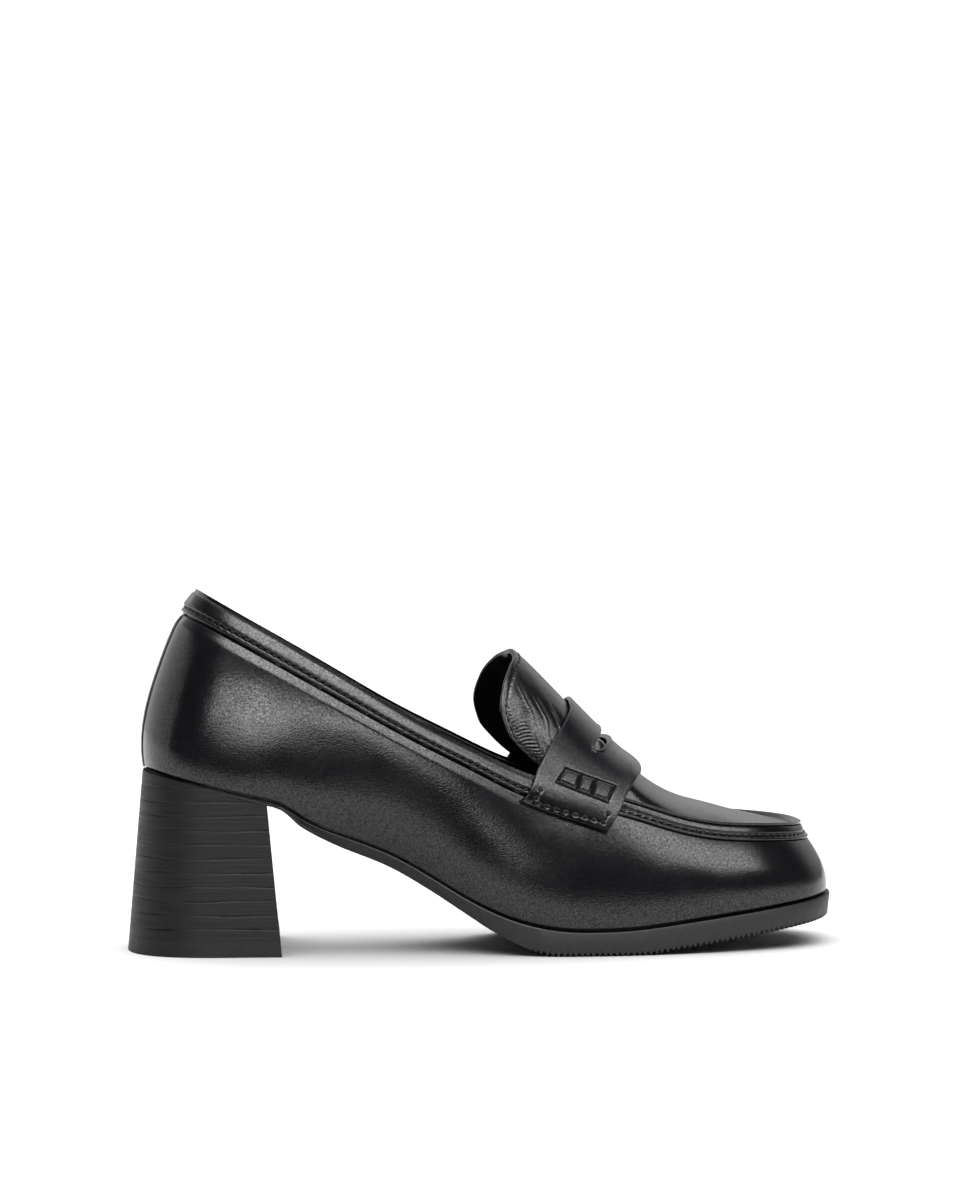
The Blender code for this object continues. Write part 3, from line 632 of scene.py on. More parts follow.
def plain(name, slot, colour, roughness, grain, scale, gloss=0.5):
    """A dull material with a fine uneven surface."""
    made = Nodes(name)
    made.set(Specular_IOR_Level=gloss)
    light = tuple(PLAIN_LIGHTER * value for value in colour)
    tone = made.noise(scale * PLAIN_TONE_SCALE, PLAIN_DETAIL)
    made.feed("Base Color", made.blend(tone, (colour, light)))
    wear = made.noise(scale * PLAIN_WEAR_SCALE, PLAIN_DETAIL)
    made.feed("Roughness", made.spread(wear, roughness - PLAIN_WEAR, roughness + PLAIN_WEAR))
    made.bump([(made.noise(scale, PLAIN_DETAIL), grain, PLAIN_DEPTH)])
    return Finish(made.material, slot)


def stacked(name, slot):
    """Dark stacked heel with a fine grain along its lifts."""
    made = Nodes(name)
    made.set(Specular_IOR_Level=STACK_GLOSS)
    streaks = made.noise(*STACK_STREAKS)
    made.feed("Base Color", made.blend(streaks, STACK_TONES))
    made.feed("Roughness", made.spread(made.noise(*STACK_WEAR), *STACK_ROUGHNESS))
    made.bump([(streaks, *STACK_STREAK_BUMP), (made.noise(*STACK_GRAIN), *STACK_GRAIN_BUMP)])
    return Finish(made.material, slot)


# Finishes: material, slot of the record, colour, roughness, strength and scale of grain, gloss.
# Leather has its own colour, scale and gloss, and the stack has all of its own.
LEATHER = leather("smooth_leather", "upper_leather", 0.20, 0.22)
TONGUE_LEATHER = leather("creased_leather", "upper_leather", 0.20, 0.25)
LINING = plain("lining_leather", "insole_lining", (0.006, 0.006, 0.006), 0.72, 0.2, 1400.0)
THREAD = plain("waxed_thread", "upper_leather", (0.006, 0.006, 0.006), 0.34, 0.3, 4000.0)
CORD = plain("dull_cord", "upper_leather", (0.003, 0.003, 0.003), 0.85, 0.3, 4000.0, 0.15)
RUBBER = plain("sole_rubber", "sole_rubber", (0.011, 0.0106, 0.0125), 0.52, 0.15, 2200.0)
TOP_RUBBER = plain("top_piece_rubber", "top_piece", (0.0065, 0.0062, 0.0070), 0.54, 0.15, 2200.0, 0.32)
STACK = stacked("stacked_lifts", "heel_stack")


# Stitches
STITCH_PITCH = 2.8
STITCH_LENGTH = 2.1
STITCH_RADIUS = 0.27
STITCH_TAPER = 0.96
STITCH_RISE = 0.45
STITCH_END_SHARE = 0.4
CORD_END = 0.4
DENT_LEAST = 0.12
THREAD_SIDES = 6
STITCH_SHARES = np.array([-1.0, -0.92, -0.6, -0.2, 0.2, 0.6, 0.92, 1.0])

# A sewn line: its points and the direction out of the leather at each
SewnLine = namedtuple("SewnLine", "path outward")


def along_line(values, run, where):
    """Points or directions of a line at distances along it."""
    return np.stack([np.interp(where, run, values[:, axis]) for axis in range(3)], axis=-1)


class Threads:
    """Collects stitches and cords into one piece."""

    def __init__(self):
        self.points = []
        self.faces = []

    def tube(self, line, outward, thick):
        """One round thread along a line, closed at both ends."""
        ahead = unit(np.gradient(line, axis=0))
        aside = unit(np.cross(ahead, outward))
        turn = 2.0 * np.pi * np.arange(THREAD_SIDES) / THREAD_SIDES
        spin = np.cos(turn)[None, :, None] * aside[:, None] + np.sin(turn)[None, :, None] * outward[:, None]
        self.faces.extend(closed_tube(len(line), THREAD_SIDES, len(self.points)))
        self.points.extend((line[:, None] + spin * thick[:, None, None]).reshape(-1, 3))

    def stitches(self, line, pitch=STITCH_PITCH):
        """A row of stitches, each rising in its middle and going into the leather at its ends."""
        run = run_length(line.path)
        thick = STITCH_RADIUS * np.sqrt(1.0 - STITCH_TAPER * STITCH_SHARES**4)
        rise = STITCH_RISE * STITCH_RADIUS * (1.0 - STITCH_SHARES**2)
        for middle in np.arange(0.5 * pitch, run[-1] - STITCH_END_SHARE * pitch, pitch):
            where = middle + 0.5 * STITCH_LENGTH * STITCH_SHARES
            outward = unit(along_line(line.outward, run, where))
            self.tube(along_line(line.path, run, where) + outward * rise[:, None], outward, thick)

    def cord(self, line, radius):
        """A thick thread that lies on the leather."""
        thick = np.full(len(line.path), radius)
        thick[[0, -1]] *= CORD_END
        self.tube(line.path, line.outward, thick)

    def make(self, name, finish):
        """The piece of all threads so far."""
        new_piece(name, np.array(self.points), self.faces, finish)


def pits(run, pitch=STITCH_PITCH):
    """How deep the leather is drawn in between stitches, from 0 to 1."""
    return np.maximum(np.cos(2.0 * np.pi * run / pitch), 0.0) ** 2


def sewn_dent(points, line, pitch, half_width, depth):
    """How far a row of stitches draws in the leather at points near it."""
    run = run_length(line.path)
    gap = np.linalg.norm(points[:, None] - line.path[None], axis=2)
    nearest = np.argmin(gap, axis=1)
    close = hill(np.min(gap, axis=1), half_width)
    return -depth * close * (DENT_LEAST + (1.0 - DENT_LEAST) * pits(run[nearest], pitch))


# Upper
SEAM_STARTS = 158.0
SEAM_FULL = 166.5
WALL_COLUMNS = 640
WALL_ROWS = 64
WALL_CROWDING = 1.15
WALL_FINE_TO = 15.0
WALL_FINE_STEP = 0.34
FOOT_TUCK = 0.6
FOOT_TUCK_RUN = 1.6

# Unevenness of the wall, which fades out towards its foot and its top
WALL_UNEVEN = 0.05
WALL_UNEVEN_SEED = 3
WALL_UNEVEN_FOOT = (3.0, 14.0)
WALL_UNEVEN_TOP = (6.0, 14.0)

# The quarter stands out fullest a little under the band and turns in to meet it in a crevice
FULL_BELOW = 4.8
FULL_ABOVE_RUN = 2.9
FULL_BELOW_RUN = 13.0
FULL_HEIGHT = 0.78
FULL_FADE = (105.0, 140.0)
CREVICE_DEPTH = 0.75
CREVICE_HALF = 0.42
CREVICE_BELOW = 0.25
CREVICE_END = (134.0, 140.0)

# A profile: how far below the top line, or across a strip, and how far off the surface
Profile = namedtuple("Profile", "drop lift")


def profile(*rows):
    """A profile from pairs of drop and lift."""
    return [Profile(*row) for row in rows]


# The raised seam, from its lower edge up over its bead
SEAM = profile(
    (5.70, -0.10), (5.58, -0.42), (5.46, -0.10), (5.38, 0.35),
    (5.25, 0.60), (5.00, 0.74), (4.65, 0.74), (4.40, 0.60),
    (4.22, 0.38), (4.00, 0.26), (3.70, 0.30), (3.40, 0.34),
    (3.10, 0.30), (2.85, 0.28), (2.68, 0.46), (2.55, 0.64),
    (2.40, 0.74), (2.00, 0.84), (1.40, 0.98), (0.90, 1.10),
    (0.66, 1.08), (0.50, 0.80), (0.36, 0.42), (0.22, 0.80),
    (0.12, 1.25), (-0.08, 1.62), (-0.38, 1.82), (-0.68, 1.66),
    (-0.92, 1.20), (-1.00, 0.40), (-1.00, -1.00),
)
SEAM_STITCH = 3.40
SEAM_STITCH_LIFT = 0.40
SEAM_STITCH_BEHIND = 3.0
SEAM_STITCH_SAMPLES = 500
SEAM_PIT = 0.25
SEAM_PIT_HALF = 0.35


def seam_share(at):
    """How far the raised seam has risen: none behind the strap, all in front of it."""
    return smooth_step(LAST.top_x(at), SEAM_STARTS, SEAM_FULL)


def under_band(at, drops):
    """How far the quarter stands out under the band, and the crevice along the band's edge."""
    below = drops - LAST.strip(at)
    run = np.where(below < FULL_BELOW, FULL_ABOVE_RUN, FULL_BELOW_RUN)
    full = FULL_HEIGHT * hill(below - FULL_BELOW, run)
    full = full * (1.0 - smooth_step(LAST.top_x(at), *FULL_FADE))
    crevice = CREVICE_DEPTH * hill(below - CREVICE_BELOW, CREVICE_HALF)
    return full - crevice * (1.0 - smooth_step(LAST.top_x(at), *CREVICE_END))


def build_vamp():
    """Vamp and quarters: the wall, and the raised seam around the plug."""
    at = np.linspace(0.0, LAST.turn, WALL_COLUMNS, endpoint=False)
    fine_drops = np.arange(WALL_FINE_TO, SEAM[0].drop, -WALL_FINE_STEP)
    fine = LAST.below_top(at, fine_drops[:, None] + 0.0 * at)
    share = np.linspace(0.0, 1.0, WALL_ROWS, endpoint=False)
    heights = np.concatenate([fine[:1] * share[:, None] ** WALL_CROWDING, fine])
    here = np.broadcast_to(at, heights.shape)
    wall = LAST.point(here, heights)
    rise = np.linalg.norm(wall - wall[:1], axis=2)
    drops = np.linalg.norm(wall - LAST.point(at, 1.0)[None], axis=2)
    tuck = -FOOT_TUCK * (1.0 - smooth_step(rise, 0.0, FOOT_TUCK_RUN)) ** 2
    uneven = WALL_UNEVEN * waves(here, rise, WALL_UNEVEN_SEED)
    uneven = uneven * smooth_step(rise, *WALL_UNEVEN_FOOT) * smooth_step(drops, *WALL_UNEVEN_TOP)
    lift = tuck + uneven + under_band(here, drops)
    wall = wall + LAST.normal(here, heights) * lift[..., None]
    drops = column(SEAM, "drop")[:, None] + 0.0 * at
    lifts = column(SEAM, "lift")[:, None] * seam_share(at)[None, :]
    run = run_length(LAST.off_wall(at, [SEAM_STITCH], [0.0])[0])
    near = hill(column(SEAM, "drop") - SEAM_STITCH, SEAM_PIT_HALF)
    dimple = -SEAM_PIT * near[:, None] * pits(run)[None, :] * seam_share(at)[None, :]
    seam = LAST.off_wall(at, drops, lifts + dimple + under_band(at[None, :], drops))
    grid_piece("vamp_and_quarters", np.concatenate([wall, seam]), LEATHER, ["upper"], True)


def wall_stitch_line(at, drops, lift):
    """Sewn line at distances below the top line and a distance off the wall."""
    path = LAST.off_wall(at, drops, [lift])[0]
    return SewnLine(path, LAST.normal(at, LAST.below_top(at, drops)[0]))


def seam_stitch_line():
    """Stitches in the seam's groove."""
    at = LAST.round_toe(SEAM_FULL - SEAM_STITCH_BEHIND, SEAM_STITCH_SAMPLES)
    return wall_stitch_line(at, [SEAM_STITCH], SEAM_STITCH_LIFT)


def plug_height(x, y):
    """Height of the plug, crowned between the seam lines and its middle line."""
    halves = []
    edges = []
    for inner in (False, True):
        line = LAST.point(LAST.side_span(inner), 1.0)
        halves.append(np.interp(x, line[:, 0], np.abs(line[:, 1] - centre_line(line[:, 0]))))
        edges.append(np.interp(x, line[:, 0], line[:, 2]))
    on_inner = y > centre_line(x)
    half = np.where(on_inner, halves[1], halves[0])
    edge = np.where(on_inner, edges[1], edges[0])
    share = np.clip(np.abs(y - centre_line(x)) / np.maximum(half, LEAST_HALF), 0.0, 1.0)
    crown = (1.0 - share**2) ** spine_fullness(x)
    return edge + (spine_height(x) - edge) * crown


PLUG_COLUMNS = 241
PLUG_ROWS = 44
PLUG_CROWDING = 1.5
PLUG_START = THROAT - 6.0
PLUG_THICK = 1.5
PLUG_SINK = 1.0
PLUG_SINK_RUN = 1.6
PLUG_UNEVEN = 0.10
PLUG_UNEVEN_SEED = 8
PLUG_UNEVEN_FROM = (2.0, 9.0)


def build_plug():
    """Plug inside the raised seam, tucked down along it."""
    edge = LAST.point(LAST.round_toe(PLUG_START, PLUG_COLUMNS), 1.0)
    stations = 0.5 * (edge[:, 0] + edge[::-1, 0])
    share = (stations - PLUG_START) / (SECTIONS[-1].top_x - PLUG_START)
    spine_x = PLUG_START + share * (SPINE_END - PLUG_START)
    spine = np.stack([spine_x, centre_line(spine_x)], axis=-1)
    inward = (np.linspace(0.0, 1.0, PLUG_ROWS) ** PLUG_CROWDING)[:, None, None]
    plan = edge[None, :, :2] * (1.0 - inward) + spine[None] * inward
    height = plug_height(plan[..., 0].ravel(), plan[..., 1].ravel()).reshape(plan.shape[:2])
    away = np.linalg.norm(plan - edge[None, :, :2], axis=2)
    height = height - PLUG_SINK * hill(away, PLUG_SINK_RUN)
    uneven = PLUG_UNEVEN * waves(plan[..., 0], plan[..., 1], PLUG_UNEVEN_SEED)
    height = height + uneven * smooth_step(away, *PLUG_UNEVEN_FROM)
    points = np.concatenate([plan, height[..., None]], axis=2)
    made = grid_piece("plug", points, LEATHER, ["upper"])
    shell = made.modifiers.new("thickness", "SOLIDIFY")
    shell.thickness = PLUG_THICK * MM
    shell.offset = -1.0


# Collar band: its profile from the lower edge up, over the rim and down inside
BAND = profile(
    (1.00, 0.00), (0.995, 0.75), (0.97, 1.05), (0.93, 1.18),
    (0.87, 1.20), (0.82, 1.10), (0.785, 0.80), (0.755, 0.62),
    (0.725, 0.84), (0.69, 1.30), (0.65, 1.46), (0.58, 1.42),
    (0.46, 1.25), (0.34, 1.07), (0.24, 0.91), (0.16, 0.77),
    (0.10, 0.62), (0.05, 0.40), (0.015, 0.05), (0.00, -0.35),
    (-0.02, -0.85), (-0.02, -1.25), (0.02, -1.60), (0.10, -1.95),
    (0.25, -2.10), (0.50, -2.10), (1.00, -2.05),
)
BAND_STITCH = 0.755
BAND_STITCH_LIFT = 0.78
BAND_STITCH_END = 137.0
BAND_GROOVE_LIFT = 0.6
BAND_PIT = 0.80
BAND_PIT_HALF = 0.07
BAND_FLATTEN = 0.3
BAND_FLATTEN_RUN = (132.0, 140.0)
BAND_END = 158.0
BAND_COLUMNS = 760


def band_positions():
    """Loop positions of the band, from one end under the strap round the heel to the other."""
    start = LAST.at_station(BAND_END, 1.0, True)
    end = LAST.at_station(BAND_END, 1.0, False) + LAST.turn
    return np.linspace(start, end, BAND_COLUMNS)


def build_collar_band():
    """Folded band along the topline with its stitched groove."""
    at = band_positions()
    width = LAST.strip(at)
    drops = column(BAND, "drop")[:, None] * width[None, :]
    stitch = LAST.off_wall(at, BAND_STITCH * width[None, :], [BAND_GROOVE_LIFT])[0]
    near = hill(column(BAND, "drop") - BAND_STITCH, BAND_PIT_HALF)
    under = 1.0 - BAND_FLATTEN * smooth_step(LAST.top_x(at), *BAND_FLATTEN_RUN)
    lifts = column(BAND, "lift")[:, None] * under[None, :]
    lifts = lifts - BAND_PIT * near[:, None] * pits(run_length(stitch))[None, :]
    grid_piece("collar_band", LAST.off_wall(at, drops, lifts), LEATHER, ["collar_band"])


def band_stitch_line():
    """Stitches in the band's groove, as far as the strap."""
    at = band_positions()
    at = at[LAST.top_x(at) < BAND_STITCH_END]
    return wall_stitch_line(at, BAND_STITCH * LAST.strip(at)[None, :], BAND_STITCH_LIFT)


LINING_COLUMNS = 260
LINING_ROWS = 18
LINING_TOP = 0.8


def build_lining():
    """Inside of the wall, from under the band to the insole."""
    at = np.linspace(0.0, LAST.turn, LINING_COLUMNS, endpoint=False)
    top = LAST.below_top(at, LINING_TOP * LAST.strip(at)[None, :])[0]
    heights = top[None, :] * np.linspace(1.0, 0.0, LINING_ROWS)[:, None]
    here = np.broadcast_to(at, heights.shape)
    points = LAST.point(here, heights) - WALL * LAST.normal(here, heights)
    grid_piece("lining", points, LINING, ["upper"], True)


# Back stay: its profile across, with the place across in shares of its half width
STAY_HALF = 3.2
STAY_DROP = 63.0
STAY_ROWS = 60
STAY = profile(
    (-1.00, -0.10), (-0.985, 0.14), (-0.93, 0.26), (-0.80, 0.34),
    (-0.62, 0.34), (-0.50, 0.20), (-0.38, 0.34), (-0.10, 0.40),
    (0.30, 0.40), (0.70, 0.38), (0.90, 0.30), (0.985, 0.14),
    (1.00, -0.10),
)
STAY_UNDER_BAND = 0.4
STAY_STITCH = -0.50
STAY_STITCH_LIFT = 0.02
STAY_STITCH_LOW = 5.0
STAY_STITCH_HIGH = 0.6
STAY_STITCH_SAMPLES = 80


def build_back_stay():
    """Strip over the back seam, stitched along its outer side."""
    across = column(STAY, "drop") * STAY_HALF
    top = LAST.strip(across) - STAY_UNDER_BAND
    share = np.linspace(0.0, 1.0, STAY_ROWS)[:, None]
    drops = STAY_DROP * (1.0 - share) + top[None, :] * share
    lifts = column(STAY, "lift")[None, :] + under_band(across, drops)
    grid_piece("back_stay", LAST.off_wall(across, drops, lifts), LEATHER, ["back_stay"])
    line = np.full(1, STAY_STITCH * STAY_HALF)
    high = LAST.strip(0.0) + STAY_STITCH_HIGH
    drops = np.linspace(STAY_DROP - STAY_STITCH_LOW, high, STAY_STITCH_SAMPLES)[:, None]
    path = LAST.off_wall(line, drops, STAY_STITCH_LIFT + under_band(line, drops))[:, 0]
    heights = LAST.below_top(line, drops)[:, 0]
    return SewnLine(path, LAST.normal(np.full(STAY_STITCH_SAMPLES, line[0]), heights))


# Tongue
TONGUE_COLUMNS = 561
TONGUE_ROWS = 100
TONGUE_UNDER_ROWS = 24
TONGUE_STITCH = 2.0
TONGUE_STITCH_SINK = 0.05
TONGUE_GROOVE = 0.22
TONGUE_GROOVE_HALF = 0.45
TONGUE_PIT = 0.16
TONGUE_PIT_HALF = 0.5
TONGUE_UNEVEN = 0.10
TONGUE_UNEVEN_STRETCH = 1.5
TONGUE_UNEVEN_SEED = 11
TONGUE_UNEVEN_FROM = (2.5, 6.0)

# Creases of the tongue's sides, as stations and angles from the middle, with half width and height
Crease = namedtuple("Crease", "places half_width height")
TONGUE_CREASES = [
    Crease([(130.5, 40.0), (133.8, 49.0), (136.0, 55.5), (137.0, 64.0), (139.5, 73.0)], 0.40, 0.26),
    Crease([(135.0, 38.0), (139.0, 47.0), (140.8, 53.0), (141.0, 59.8), (143.0, 69.0)], 0.40, 0.28),
    Crease([(141.0, 36.0), (144.5, 45.0), (146.0, 54.0), (146.5, 64.0)], 0.60, 0.22),
]
CREASE_SAMPLES = 40
CREASE_FADE = (-0.01, 0.2, 0.75, 1.01)
CREASE_TROUGH = 0.6
CREASE_TROUGH_WIDTH = 3.0

# Wrinkles across the tongue's sides, which wander and break off
WRINKLE_PITCH = 1.3
WRINKLE_HEIGHT = 0.22
WRINKLE_WANDER = 1.3
WRINKLE_WANDER_STRETCH = 3.0
WRINKLE_WANDER_SEED = 21
WRINKLE_BREAK_STRETCH = 2.0
WRINKLE_BREAK_SEED = 5
WRINKLE_ANGLES = (48.0, 54.0, 68.0, 75.0)
WRINKLE_REACH = (2.6, 4.0, 9.0, 12.0)

# The tongue lies lower under the slot of the strap, where nothing else shows it
SLOT_HOLLOW = 6.0
SLOT_HOLLOW_RUN = (156.0, 158.5, 165.5, 167.5)
SLOT_HOLLOW_SIDE = (44.0, 50.0)


def tongue_point(station, angle):
    """Outside of the tongue: an arch over the instep."""
    turn = np.radians(angle)
    side = arch_side(station)
    y = centre_line(station) + arch_half(station) * np.sin(turn)
    z = side + (arch_ridge(station) - side) * np.cos(turn)
    return np.stack([station, y, z], axis=-1)


def tongue_grid(rows):
    """Stations and angles of a grid from the tongue's front, under the strap, to its free edge."""
    limit = TONGUE_EDGE[-1].angle
    angles = np.linspace(-limit, limit, TONGUE_COLUMNS)
    front = THROAT - 2.0 * GAP - TONGUE_FRONT_BOW * (1.0 - np.cos(np.radians(angles)))
    reach = tongue_reach(np.abs(angles)) - TONGUE_TWIST * np.sin(np.radians(angles))
    share = np.linspace(0.0, 1.0, rows)[:, None]
    stations = front + (reach - front) * share
    return stations, np.broadcast_to(angles, stations.shape)


def tongue_normal(stations, angles):
    """Direction out of the tongue."""
    return surface_normal(tongue_point, stations, angles, TONGUE_STEPS)


# Layers at the tongue's free edge, from outside to inside: how far they stand out and how deep
TONGUE_RIM = profile(
    (0.25, -0.12), (0.36, -0.40), (0.25, -0.70), (-0.15, -0.86),
    (-0.15, -0.96), (0.18, -1.10), (0.26, -1.40), (0.12, -1.68),
)


def crease_relief(points, crease):
    """A sharp ridge with a soft trough on both sides, on the outer and the inner side."""
    total = np.zeros(points.shape[:2])
    for side in (-1.0, 1.0):
        stations, angles = np.array(crease.places).T
        share = np.linspace(0.0, 1.0, CREASE_SAMPLES)
        knots = np.linspace(0.0, 1.0, len(stations))
        line = tongue_point(spline(knots, stations)(share), side * spline(knots, angles)(share))
        gap = np.linalg.norm(points[:, :, None] - line[None, None], axis=3)
        near = np.min(gap, axis=2)
        fade = between(share, CREASE_FADE)[np.argmin(gap, axis=2)]
        ridge = hill(near, crease.half_width)
        trough = hill(near, CREASE_TROUGH_WIDTH * crease.half_width)
        total += crease.height * fade * (ridge - CREASE_TROUGH * trough)
    return total


def tongue_relief(points, stations, angles, away):
    """Creases and fine crosswise wrinkles of the tongue."""
    total = sum(crease_relief(points, crease) for crease in TONGUE_CREASES)
    steps = np.linalg.norm(np.diff(points, axis=1), axis=2)
    arc = np.cumsum(np.concatenate([np.zeros((len(points), 1)), steps], axis=1), axis=1)
    wander = waves(WRINKLE_WANDER_STRETCH * stations, angles, WRINKLE_WANDER_SEED)
    arc = arc + WRINKLE_WANDER * wander
    stretch = WRINKLE_BREAK_STRETCH
    broken = 0.5 + 0.5 * waves(stretch * stations, stretch * angles, WRINKLE_BREAK_SEED)
    fine = np.sin(2.0 * np.pi * arc / WRINKLE_PITCH) * broken
    where = between(np.abs(angles), WRINKLE_ANGLES) * between(away, WRINKLE_REACH)
    uneven = TONGUE_UNEVEN * waves(stations * TONGUE_UNEVEN_STRETCH, angles, TONGUE_UNEVEN_SEED)
    uneven = uneven * smooth_step(away, *TONGUE_UNEVEN_FROM)
    under_slot = -SLOT_HOLLOW * between(stations, SLOT_HOLLOW_RUN)
    under_slot = under_slot * (1.0 - smooth_step(np.abs(angles), *SLOT_HOLLOW_SIDE))
    return total + WRINKLE_HEIGHT * fine * where + uneven + under_slot


def build_tongue():
    """Tongue of two layers, with a stitched free edge and creases on its sides."""
    stations, angles = tongue_grid(TONGUE_ROWS)
    outer = tongue_point(stations, angles)
    outward = tongue_normal(stations, angles)
    away = np.linalg.norm(outer - outer[-1:], axis=2)
    row = np.argmin(np.abs(away - TONGUE_STITCH), axis=0)
    columns = np.arange(TONGUE_COLUMNS)
    stitch_path = outer[row, columns] - TONGUE_STITCH_SINK * outward[row, columns]
    line = SewnLine(stitch_path, outward[row, columns])
    groove = -TONGUE_GROOVE * hill(away - TONGUE_STITCH, TONGUE_GROOVE_HALF)
    drawn = -TONGUE_PIT * hill(away - TONGUE_STITCH, TONGUE_PIT_HALF)
    drawn = drawn * pits(run_length(stitch_path))[None, :]
    relief = groove + drawn + tongue_relief(outer, stations, angles, away)
    outer = outer + outward * relief[..., None]
    edge = outer[-1]
    edge_out = outward[-1]
    back = unit(outer[-1] - outer[-2])
    rim = [edge + back * row.drop + edge_out * row.lift for row in TONGUE_RIM]
    stations, angles = tongue_grid(TONGUE_UNDER_ROWS)
    inner = tongue_point(stations, angles) - TONGUE_THICK * tongue_normal(stations, angles)
    points = np.concatenate([outer, np.stack(rim), inner[::-1]])
    grid_piece("tongue", points, TONGUE_LEATHER, ["tongue"])
    return line


# Saddle strap
STRAP_COLUMNS = 421
STRAP_ROWS = 104
STRAP_UNDER_ROWS = 36
STRAP_ROUND = 0.45
STRAP_EDGE_ROWS = 5
STRAP_EDGE_CROWDING = 1.5
STRAP_MARGIN = 3.0
STRAP_STATIONS = 49
SKIRT_DEPTH = 1.4
SKIRT_SEAM_DEPTH = 2.6
SKIRT_SEAM = (0.50, 0.62, 0.76, 0.86)
SKIRT_RUN = (-0.01, 0.6, 1.0, 2.6)
SKIRT_TAB = (0.66, 0.74)
SKIRT_TAB_DEPTH = 1.1
SLOT_STATION = 161.8
SLOT_STEP = 1.0
SLOT_HALF_LENGTH = 24.5
SLOT_WIDTH = 4.4
SLOT_BOW = 1.4
SLOT_SAG = 7.5
SLOT_POINTS = 64
SLOT_DEPTHS = [-1.0, 12.0]
SLOT_LIP = 0.35
SLOT_LIP_RUN = 0.5
SLOT_CORNER = 0.25

# Three raised pads between cords on each side of the strap, in the strap's own across and along:
# the upper and the lower cord at their rear and front ends, and the short cords between
PAD_UPPER = (0.637, 0.655)
PAD_LOWER = (0.728, 0.790)
PadSeam = namedtuple("PadSeam", "upper lower")
PAD_SEAMS = [PadSeam(0.267, 0.223), PadSeam(0.463, 0.463), PadSeam(0.630, 0.637), PadSeam(0.853, 0.840)]
PAD_RISE = 0.40
PAD_SWELL = 0.65
PAD_EDGE = 1.3
PAD_GROOVE = 0.25
PAD_GROOVE_HALF = 0.30
STRAP_REACH = 54.0
STRAP_WIDTH = 31.5
CORD_RADIUS = 0.26
CORD_THIN = 0.17
CORD_OVER = 0.10
CORD_SINK = 0.12
CORD_PAST_REAR = (0.03, 0.01)
CORD_PAST_FRONT = (0.01, 0.03)
CORD_SAMPLES = 40
CORD_THIN_SAMPLES = 16

# Stitches around the end of a tab
TAB_INSET = 3.2
TAB_STITCH_PITCH = 3.3
TAB_STITCH_FROM = 0.80
TAB_STITCH_TO = 0.87
TAB_STITCH_SINK = 0.15
TAB_STITCH_SAMPLES = 60
TAB_DENT = 0.80
TAB_DENT_HALF = 0.50
TAB_DENT_FROM = 0.06


def instep_point(station, angle):
    """Outside of tongue and plug together, at an angle from the middle."""
    station, angle = np.broadcast_arrays(np.asarray(station, float), np.asarray(angle, float))
    on_tongue = tongue_point(np.minimum(station, THROAT), angle)
    y = centre_line(station) + arch_half(THROAT) * np.sin(np.radians(angle))
    on_plug = np.stack([station, y, plug_height(station, y)], axis=-1)
    return np.where((station < THROAT)[..., None], on_tongue, on_plug)


def strap_lines(stations, inner):
    """Lines of the strap's underside from the middle to a tab."""
    forward = smooth_step(stations, THROAT - STRAP_LIFT_RUN, THROAT + STRAP_LIFT_RUN)
    lift = STRAP_LIFT + (STRAP_FRONT_LIFT - STRAP_LIFT) * forward
    lines = []
    for side_angle in STRAP_ARCH:
        angle = side_angle if inner else -side_angle
        outward = surface_normal(instep_point, stations, angle, INSTEP_STEPS)
        lines.append(instep_point(stations, angle) + outward * lift[:, None])
    tab_end = [STRAP[-1].rear, STRAP[-1].front]
    tab_drop = np.interp(stations, tab_end, [TAB_DROP_REAR, TAB_DROP_FRONT])
    for drop, off in ((0.0 * tab_drop, STRAP_SIDE_LIFT), (tab_drop, STRAP_TAB_LIFT)):
        at = LAST.at_station(stations, 1.0, inner)
        height = np.diag(LAST.below_top(at, drop[:, None]))
        at = np.array([LAST.at_station(*here, inner) for here in zip(stations, height)])
        lines.append(LAST.point(at, height) + off * LAST.normal(at, height))
    return lines


class StrapSurface:
    """Underside of the strap: across runs from -1 (outer tab) to 1, along from rear to front."""

    def __init__(self):
        ends = (STRAP[-1].rear - STRAP_MARGIN, STRAP[0].front + STRAP_MARGIN)
        self.stations = np.linspace(*ends, STRAP_STATIONS)
        outer = strap_lines(self.stations, False)
        inner = strap_lines(self.stations, True)
        self.lines = outer[:0:-1] + inner
        places = column(STRAP, "across")
        self.knots = np.concatenate([-places[:0:-1], places])

    def point(self, across, along):
        """Points of the underside."""
        across, along = np.broadcast_arrays(np.asarray(across, float), np.asarray(along, float))
        rear = strap_rear(np.abs(across))
        station = rear + (strap_front(np.abs(across)) - rear) * along
        total = np.zeros(across.shape + (3,))
        for k, line in enumerate(self.lines):
            weight = spline(self.knots, np.eye(len(self.knots))[k])(across)
            for axis in range(3):
                total[..., axis] += weight * np.interp(station, self.stations, line[:, axis])
        return total

    def normal(self, across, along):
        """Direction out of the strap."""
        return surface_normal(lambda ahead, aside: self.point(aside, ahead), along, across, STRAP_STEPS)


STRAP_SURFACE = StrapSurface()


def slot_place():
    """Middle of the slot on the instep, and the slope of the instep there."""
    front = instep_point(SLOT_STATION + SLOT_STEP, 0.0)
    ahead = front - instep_point(SLOT_STATION - SLOT_STEP, 0.0)
    return instep_point(SLOT_STATION, 0.0), math.atan2(ahead[2], ahead[0])


